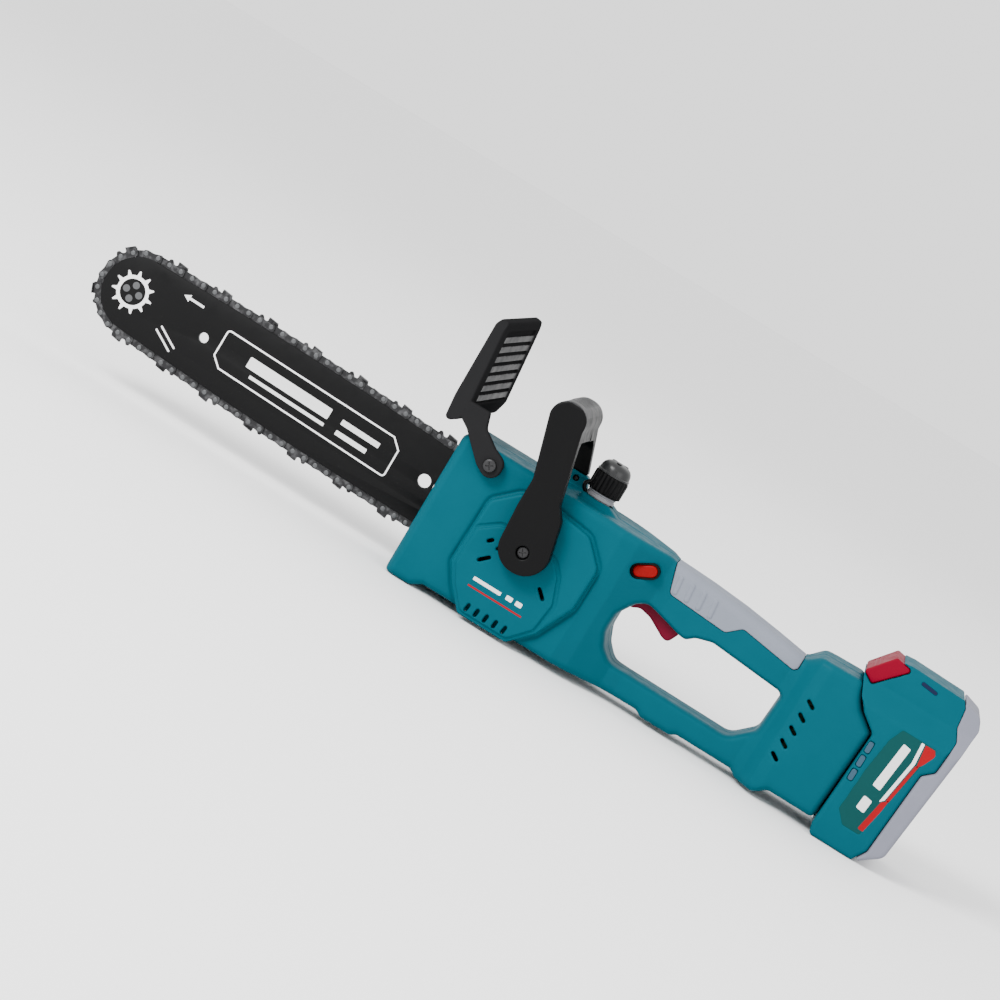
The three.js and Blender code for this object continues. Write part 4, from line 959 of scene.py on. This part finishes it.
def battery_case():
    shell = pillow("battery_shell", BATTERY_CASE, -BATTERY_HALF, BATTERY_HALF, 2.6, 2.6)
    common(shell, battery_front())
    interior = [
        (301, 3, 2), (322, 3, 2), (327.6, 11, 0), (331.4, 75.6, 0), (338.6, 82.4, 0), (340, 104.8, 0),
        (335.2, 113.2, 0), (333.6, 127, 0), (330, 129.4, 0), (302, 130.4, 2),
    ]
    room = common(pillow("room", interior, -BATTERY_HALF, BATTERY_HALF), battery_front(WALL))
    mouth = pillow("mouth", rectangle(318, 345, 14, 126), -BATTERY_HALF, BATTERY_HALF)
    common(mouth, battery_front(2 * WALL))
    rail = [(285, -13.5), (293.1, -13.5), (293.1, -19.5), (298.5, -19.5), (298.5, 19.5), (293.1, 19.5),
            (293.1, 13.5), (285, 13.5)]
    cuts = [room, mouth, leaning("rail_room", rail, -60, 72), latch_pocket()]
    for middle in (-6.4, 6.4):
        blade = [(295, -2, 0), (303.4, -2, 0), (303.4, 49, 0), (297.6, 49, 0)]
        cuts.append(pillow("blade_slot", blade, middle - 1.8, middle + 1.8))
    for height in CHARGE_LIGHTS:
        cuts.append(block("light_seat", (292.3, 296.7), (-40, -34.3), (height - 4.5, height + 4.5)))
    cuts.append(pillow("label_bed", LABEL, -BATTERY_HALF - 3, LABEL_Y))
    cut(shell, *cuts)
    moulded(shell, 0.6, 1, 0.35)
    finish(shell, TEAL, "battery", ["battery_case"], 40)


def latch_pocket():
    """The room that the latch needs from its rest place to fully pressed."""
    pocket = inset(LATCH, -GAP)
    travel = LATCH_TRAVEL + GAP
    pressed = [(x + travel * LATCH_PRESS[0], z + travel * LATCH_PRESS[1], r) for x, z, r in pocket]
    middle = [((ax + bx) / 2, (az + bz) / 2, r) for (ax, az, r), (bx, bz, _) in zip(pocket, pressed)]
    return join(pillow("latch_window", pocket, -30, 30),
                pillow("middle", middle, -LATCH_ROOM, LATCH_ROOM),
                pillow("pressed", pressed, -LATCH_ROOM, LATCH_ROOM))


def battery_base():
    base = pillow("battery_base_shell", BATTERY_BASE, -BATTERY_HALF, BATTERY_HALF, 2.6, 2.6)
    common(base, battery_front())
    hollow = [(318, 14, 0), (337, 14, 0), (346, 119, 0), (342, 126, 0), (318, 126, 0)]
    cut(base, common(pillow("room", hollow, -31, 31), battery_front(2 * WALL)))
    moulded(base, 0.6, 2, 0.3)
    finish(base, GREY, "battery", ["battery_base"], 40)


def battery_latch():
    half = LATCH_ROOM - GAP
    latch = pillow("latch_button", LATCH, -half, half, 0.9, 0.9)
    (low_x, low_z, _), (high_x, high_z, _) = LATCH[0], LATCH[-1]
    grooves = []
    for index in range(4):
        t = 0.28 + 0.14 * index
        x = low_x + t * (high_x - low_x)
        z = low_z + t * (high_z - low_z)
        grooves.append(pillow("groove", slot_points(x, z, 2.4, 1.2, 0.9 - math.pi / 2), -20, 20))
    cut(latch, *grooves)
    moulded(latch, 0.5, 2, 0.35)
    finish(latch, LATCH_RED, "latch", ["battery_latch"], 40)


LABEL_PRINTS = {
    "label_red_top": (PRINT_RED, [(325.9, 94, 0.5), (333, 94, 1), (335, 91, 1), (334.4, 86.5, 1),
                                  (330.6, 80.3, 0.5), (328.2, 77.4, 0.3)]),
    "label_red_line": (PRINT_RED, [(327.2, 78, 0.2), (329.6, 79, 0.2), (325, 47, 0.2), (322.8, 47.6, 0.2)]),
    "label_red_low": (PRINT_RED, [(320.6, 44.6, 0.3), (324.8, 48.4, 0.3), (322.4, 21, 1), (316.5, 21, 1)]),
    "label_white_line": (PRINT_WHITE, [(322.8, 94, 0.3), (325.1, 94, 0.3), (326.5, 79, 0.3), (322, 47, 0.3),
                                       (319.2, 44, 0.3), (324, 78.4, 0.3)]),
    "label_white_bar": (PRINT_WHITE, [(309.6, 52, 0.8), (315.8, 51, 0.8), (319, 86, 0.8), (313, 87, 0.8)]),
    "label_white_block": (PRINT_WHITE, [(308, 33, 1), (314.6, 32, 1), (315.4, 42, 1), (308.8, 43, 1)]),
}


def battery_marks():
    for index, height in enumerate(CHARGE_LIGHTS):
        outline = rectangle(292.6, 296.4, height - 4.2, height + 4.2, 1.6)
        window = pillow(f"charge_window_{index + 1}", outline, -BATTERY_HALF - 0.2, -34.6, 0.4)
        finish(window, LIGHT_GREY, "battery", [f"charge_light_{index + 1}"], 40)
    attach(flat_print("label_field", inset(LABEL, 0.4), LABEL_Y, DARK_TEAL, 0.05), "battery")
    for name, (ink, corners) in LABEL_PRINTS.items():
        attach(flat_print(name, corners, LABEL_Y, ink, 0.1), "battery")
    # A thin dark piece on the shoulder stands in for the shade inside a slit: painted shade, not a cut.
    slit_outline = slot_points(308.5, 127, 13, 2.8, -0.12)
    slit = pillow("shoulder_slit_shade", slit_outline, -26.5, -24.8, 0.2, corner_steps=6)
    finish(slit, SLIT_SHADE, "battery", sharp=40)


# ------------------------------------------------------------------ bar and chain, in the bar's own frame

NOSE = (-344.5, 0.0)                    # the nose sprocket's axis
NOSE_ARC = 340.0                        # from the spindle to the centre of the rounded tip
NOSE_RADIUS = 27.5
BAR_BELLY = 3.0                         # how far the rails bow out at mid length
BAR_TAIL = 27.0                         # from the spindle to the end of the bar
BAR_SHOULDER = 53.0                     # where the rails start to close in on the sprocket
BAR_HALF = 2.0
BAR_FACE = BAR_Y - BAR_HALF
SPROCKET_RADIUS = 17.0
CHAIN_PITCH = 9.4


def from_bar(x, z):
    """Where a point of the bar's side view lies in the saw's side view."""
    return (SPINDLE[0] + x * math.cos(BAR_TILT) + z * math.sin(BAR_TILT),
            SPINDLE[1] - x * math.sin(BAR_TILT) + z * math.cos(BAR_TILT))


def bar_stud():
    return from_bar(-55, 0)


def place_bar(point):
    """Side-view layer of the tilted bar: (x, z) at distance y across the saw."""
    (x, z), y = point
    across, up = from_bar(x, z)
    return ORIGIN + Vector((across, y, up)) * MM


def rail_height(distance):
    """Half the height of the bar at a distance ahead of the spindle."""
    middle = (NOSE_ARC + BAR_TAIL) / 2
    span = (NOSE_ARC - BAR_TAIL) / 2
    return NOSE_RADIUS + BAR_BELLY * (1 - ((distance - middle) / span) ** 2)


def rail_distances(shoulder, steps):
    return [shoulder + (NOSE_ARC - shoulder) * step / steps for step in range(steps + 1)]


def tip_point(angle, offset):
    reach = NOSE_RADIUS + offset
    return -NOSE_ARC + reach * math.cos(angle), reach * math.sin(angle)


def bar_loop(tail, tail_height, offset):
    """The bar's outline, its rails and tip moved out by an offset."""
    distances = rail_distances(BAR_SHOULDER + 6, 20)
    loop = [(-tail, -tail_height)]
    loop += [(-distance, -rail_height(distance) - offset) for distance in distances]
    loop += [tip_point(-math.pi / 2 - math.pi * step / 24, offset) for step in range(1, 24)]
    loop += [(-distance, rail_height(distance) + offset) for distance in reversed(distances)]
    return loop + [(-tail, tail_height)]


def through_bar(name, loop, half):
    return loft(name, [(loop, BAR_Y - half), (loop, BAR_Y + half)], place_bar)


def bar_hole(centre, radius, half=5.0, sides=32):
    return through_bar("hole", circle(centre, radius, sides), half)


def guide_bar():
    plate = through_bar("guide_bar_plate", bar_loop(BAR_TAIL, 14, 0), BAR_HALF)
    groove = through_bar("groove", bar_loop(BAR_TAIL - 3, 17, 2), 0.85)
    nose_ring = bar_hole(NOSE, 24, 1, 48)
    cut(nose_ring, bar_hole(NOSE, 2.8, 3))
    cut(groove, through_bar("core", bar_loop(BAR_TAIL + 6, 9, -5.4), 3))
    slot = pillow("slot", slot_points(-59, 0, 54.8, 8.8, 0), BAR_Y - 5, BAR_Y + 5, put=place_bar,
                  corner_steps=8)
    cut(plate, groove, nose_ring, slot, bar_hole((-93.5, 0), 5, sides=40), bar_hole((-283, 0), 3.8, sides=40),
        bar_hole((-67, -14), 3.2))
    bevelled(plate, 0.25)
    finish(plate, BAR_BLACK, "bar", ["guide_bar"], 30)
    bar_marks()


def bar_print(name, outline, hole=None):
    def mark_layer(title, corners, low, high):
        return pillow(title, corners, low, high, put=place_bar, corner_steps=6)

    top = BAR_FACE - 0.05
    mark = mark_layer(name, outline, top, BAR_FACE + 0.02)
    if hole:
        cut(mark, mark_layer("hole", hole, top - 1, top + 1))
    shade_smooth(mark)
    mark.data.materials.append(PRINT_WHITE)
    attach(mark, "bar")


def bar_marks():
    """Printed marks: a toothed wheel at the nose, a plain frame, plain bars and a travel arrow."""
    spikes = []
    for tooth in range(11):
        for radius, offset in ((12.2, -0.5), (12.2, -0.22), (15.8, -0.06), (15.8, 0.06), (12.2, 0.22)):
            angle = 2 * math.pi * (tooth + offset) / 11
            spikes.append((NOSE[0] + radius * math.cos(angle), NOSE[1] + radius * math.sin(angle), 0))
    bar_print("nose_mark", spikes, [(x, z, 0) for x, z in circle(NOSE, 9.6, 28)])
    for index, place in enumerate(circle(NOSE, 5.3, 4)):
        low, high = BAR_FACE - 0.15, BAR_FACE + 0.02
        rivet = cylinder(f"nose_rivet_{index + 1}", place, 2.7, low, high, place_bar, 28, 0.1)
        finish(rivet, RIVET_STEEL, "bar", sharp=30)
    frame_outline = [(-270.6, 15.4, 3), (-127.8, 15.4, 1), (-120, 8.4, 1), (-119.4, -14, 3),
                     (-262.4, -13.3, 1), (-270.4, -6.4, 1)]
    bar_print("frame_line", frame_outline, inset(frame_outline, 1.2))
    bar_print("frame_bar_wide", rectangle(-246, -176, -1, 7.4, 0.8))
    bar_print("frame_bar_thin", rectangle(-240, -176, -6.8, -4.4, 0.4))
    bar_print("frame_tick", rectangle(-166, -134, 1.4, 5.4, 0.5))
    bar_print("frame_tick_low", rectangle(-166, -140, -7, -3.4, 0.5))
    bar_print("nose_line_1", slot_points(-305.4, -13.8, 19, 1.4, -0.5))
    bar_print("nose_line_2", slot_points(-307.6, -17.6, 19, 1.4, -0.5))
    bar_print("travel_arrow", [(-311, 18.6, 0), (-306, 21.4, 0), (-306, 19.5, 0), (-294, 19.5, 0),
                               (-294, 17.7, 0), (-306, 17.7, 0), (-306, 15.8, 0)])


def chain_route():
    """The line of the rivets round the bar and the sprocket, in even steps of about one pitch."""
    lift = 3.0
    wrap = SPROCKET_RADIUS + 4.4
    overlap = 0.14
    distances = rail_distances(BAR_SHOULDER, 60)
    route = [(-distance, rail_height(distance) + lift) for distance in distances]
    route += [tip_point(math.pi / 2 + math.pi * step / 48, lift) for step in range(1, 48)]
    route += [(-distance, -rail_height(distance) - lift) for distance in reversed(distances)]
    for step in range(33):
        angle = -math.pi / 2 - overlap + (math.pi + 2 * overlap) * step / 32
        route.append((wrap * math.cos(angle), wrap * math.sin(angle)))
    route = np.array(route + route[:1])
    lengths = np.concatenate([[0], np.cumsum(np.hypot(*np.diff(route, axis=0).T))])
    count = 4 * round(lengths[-1] / CHAIN_PITCH / 4)
    stations = np.arange(count) * lengths[-1] / count
    return np.column_stack([np.interp(stations, lengths, route[:, axis]) for axis in (0, 1)])


RIVET_LIFT = 2.9                        # from the rivet line down to the links' feet
# Link outlines from one rivet to the next: distance along, height off the rivet line, corner radius.
STRAP = [
    (-2.9, -RIVET_LIFT, 1.2), (-2.9, 2.8, 2.2), (CHAIN_PITCH / 2, 1.7, 4), (CHAIN_PITCH + 2.9, 2.8, 2.2),
    (CHAIN_PITCH + 2.9, -RIVET_LIFT, 1.2), (CHAIN_PITCH / 2, -RIVET_LIFT + 0.1, 3),
]
CUTTER = [
    (-2.9, -RIVET_LIFT, 1.2), (-3.6, 2.4, 1.4), (-2.8, 4.0, 0.6), (4.4, 4.9, 0.2), (5.0, 3.6, 0.3),
    (4.6, 2.0, 1.0), (7.4, 1.5, 1.2), (9.8, 4.2, 0.9), (11.6, 3.9, 0.9), (12.4, 1.4, 1.4),
    (CHAIN_PITCH + 2.9, -RIVET_LIFT, 1.2), (CHAIN_PITCH / 2, -RIVET_LIFT + 0.1, 3),
]
CUTTER_ROOF = [(-2.7, 3.5), (4.7, 4.3), (4.7, 5.2), (-2.7, 4.3)]
TANG = [
    (-2.6, -1.4, 1), (-2.4, 2.2, 1.2), (CHAIN_PITCH + 2.4, 2.2, 1.2), (CHAIN_PITCH + 2.6, -1.4, 1),
    (CHAIN_PITCH - 2.2, -3, 0.6), (CHAIN_PITCH / 2 + 0.8, -6.8, 0.6), (CHAIN_PITCH / 2 - 1.2, -6.8, 0.6),
    (2.2, -3, 0.6),
]


def add_plate(mesh, start, along, outline, low, high):
    """One flat plate or rivet: an outline set out from a rivet along the chain, low to high in Y."""
    outward = Vector((along.y, -along.x))
    rings = []
    for y in (low, high):
        places = [start + along * distance + outward * height for distance, height in outline]
        rings.append([mesh.verts.new(place_bar((place, y))) for place in places])
    for index in range(len(outline)):
        after = (index + 1) % len(outline)
        mesh.faces.new((rings[0][index], rings[0][after], rings[1][after], rings[1][index]))
    mesh.faces.new(rings[0][::-1])
    mesh.faces.new(rings[1])


def saw_chain():
    """Drive links alternate with pairs of straps; every second pair has a cutter, left and right in turn."""
    strap, cutter, tang = rounded(STRAP, 3), rounded(CUTTER, 2), rounded(TANG, 2)
    rivet_head = circle((0, 0), 1.75, 16)
    rivets = [Vector(place) for place in chain_route()]
    links, pins = bmesh.new(), bmesh.new()
    for index, start in enumerate(rivets):
        along = (rivets[(index + 1) % len(rivets)] - start).normalized()
        left_cutter, right_cutter = index % 8 == 0, index % 8 == 4
        if index % 2:
            plates = [(tang, -0.62, 0.62)]
        else:
            plates = [(cutter if left_cutter else strap, -1.95, -0.75),
                      (cutter if right_cutter else strap, 0.75, 1.95)]
        if left_cutter:
            plates.append((CUTTER_ROOF, -2.7, 0.6))
        if right_cutter:
            plates.append((CUTTER_ROOF, -0.6, 2.7))
        for outline, low, high in plates:
            add_plate(links, start, along, outline, BAR_Y + low, BAR_Y + high)
        add_plate(pins, start, along, rivet_head, BAR_Y - 2.35, BAR_Y + 2.35)
    chain = new_object("chain_links", links)
    follow_bar(chain, CHAIN_STEEL)
    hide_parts("saw_chain")
    heads = new_object("chain_rivets", pins)
    bevelled(heads, 0.35)
    follow_bar(heads, RIVET_STEEL)


def follow_bar(piece, material):
    """Shades the piece smooth, gives it its material and bakes its place into its mesh."""
    shade_smooth(piece, 30)
    piece.data.materials.append(material)
    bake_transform(piece)


# ------------------------------------------------------------------ pieces that keep their CAD solid

def carried_over():
    """Inner pieces keep their CAD solids and get a procedural surface and a fine edge."""
    looks = {
        STEEL: ["motor_rotor", "motor_bearing_left", "motor_bearing_right", "ring_gear", "planet_carrier",
                "spindle_bearing", "nose_sprocket", "bar_stud", "tension_pin", "tension_screw", "trigger_pin",
                *[f"planet_gear_{index + 1}" for index in range(3)]],
        CHAIN_STEEL: ["drive_sprocket", "gearbox_plate", "handle_screw_right",
                      *[f"housing_screw_{index + 1}" for index in range(4)]],
        BLACK: ["brake_switch", "oil_cap_seal", "oil_hose", "oil_pump", "cooling_fan", "trigger_switch",
                "switch_plunger", "terminal_block"],
        COPPER: ["motor_stator"],
        TANK: ["oil_tank"],
        BOARD: ["control_board"],
        CELL_WRAP: [f"battery_cell_{index + 1}" for index in range(5)],
    }
    for surface, names in looks.items():
        for name in names:
            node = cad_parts[name]
            node.data.materials.clear()
            node.data.materials.append(surface)
            rim = node.modifiers.new("fine_edge", "BEVEL")
            rim.width = 0.15 * MM
            rim.segments = 1
            rim.limit_method = "ANGLE"
            rim.angle_limit = math.radians(50)


left_housing()
right_housing()
grip_pad(-1)
grip_pad(1)
motor_cover()
sprocket_cover()
cover_knob()
front_handle()
hand_guard()
pan_screw("handle_screw_head", HANDLE_SCREW, 4.2, -54.8, -52.2, "root", ["handle_screw_left"])
pan_screw("guard_screw_head", GUARD_PIVOT, 4.6, -48.8, -46.4, "root", ["guard_pivot_screw"])
oil_cap()
filler_neck()
trigger()
lock_button()
battery_case()
battery_base()
battery_latch()
battery_marks()
guide_bar()
saw_chain()
carried_over()


# ------------------------------------------------------------------ camera, light and floor

CAMERA_AZIMUTH = math.radians(5.7)
CAMERA_ELEVATION = math.radians(7.5)
CAMERA_ROLL = math.radians(30.89)
CAMERA_DISTANCE = 2.0                   # metres
CAMERA_LENS = 102.86
CAMERA_TARGET = ORIGIN + Vector((-11.3, 0, 79.4)) * MM


def set_camera():
    across_view = Vector((math.cos(CAMERA_AZIMUTH), math.sin(CAMERA_AZIMUTH), 0))
    back = Vector((math.sin(CAMERA_AZIMUTH) * math.cos(CAMERA_ELEVATION),
                   -math.cos(CAMERA_AZIMUTH) * math.cos(CAMERA_ELEVATION), math.sin(CAMERA_ELEVATION)))
    up_view = back.cross(across_view)
    right = math.cos(CAMERA_ROLL) * across_view + math.sin(CAMERA_ROLL) * up_view
    up = -math.sin(CAMERA_ROLL) * across_view + math.cos(CAMERA_ROLL) * up_view
    camera = bpy.data.objects.new("camera", bpy.data.cameras.new("camera"))
    camera.data.lens = CAMERA_LENS
    camera.data.sensor_width = 36
    camera.data.clip_end = 50
    turned = Matrix((right, up, back)).transposed().to_4x4()
    camera.matrix_world = Matrix.Translation(CAMERA_TARGET + back * CAMERA_DISTANCE) @ turned
    bpy.context.scene.collection.objects.link(camera)
    bpy.context.scene.camera = camera


def add_light(name, place, size, power):
    lamp = bpy.data.lights.new(name, "AREA")
    lamp.size = size
    lamp.energy = power
    light = bpy.data.objects.new(name, lamp)
    light.location = place
    light.rotation_euler = (Vector((0, 0, 0.08)) - Vector(place)).to_track_quat("-Z", "Y").to_euler()
    bpy.context.scene.collection.objects.link(light)


def set_stage():
    floor = block("floor", (-9000, 9000), (-9000, 9000), (-40, -0.2))
    paint = material("floor_paint", (0.94, 0.94, 0.94), 0.9, bump=0.0, shade=0.0, rough_range=0.02)
    floor.data.materials.append(paint)
    world = bpy.data.worlds.new("studio")
    world.use_nodes = True
    background = world.node_tree.nodes["Background"]
    background.inputs["Color"].default_value = (1, 1, 1, 1)
    background.inputs["Strength"].default_value = 1.7
    bpy.context.scene.world = world
    add_light("key", (-1.3, -1.6, 1.5), 1.0, 95)
    add_light("fill", (1.6, -1.8, 0.9), 1.6, 18)
    add_light("rim", (0.4, 1.6, 1.6), 1.2, 8)


set_camera()
set_stage()
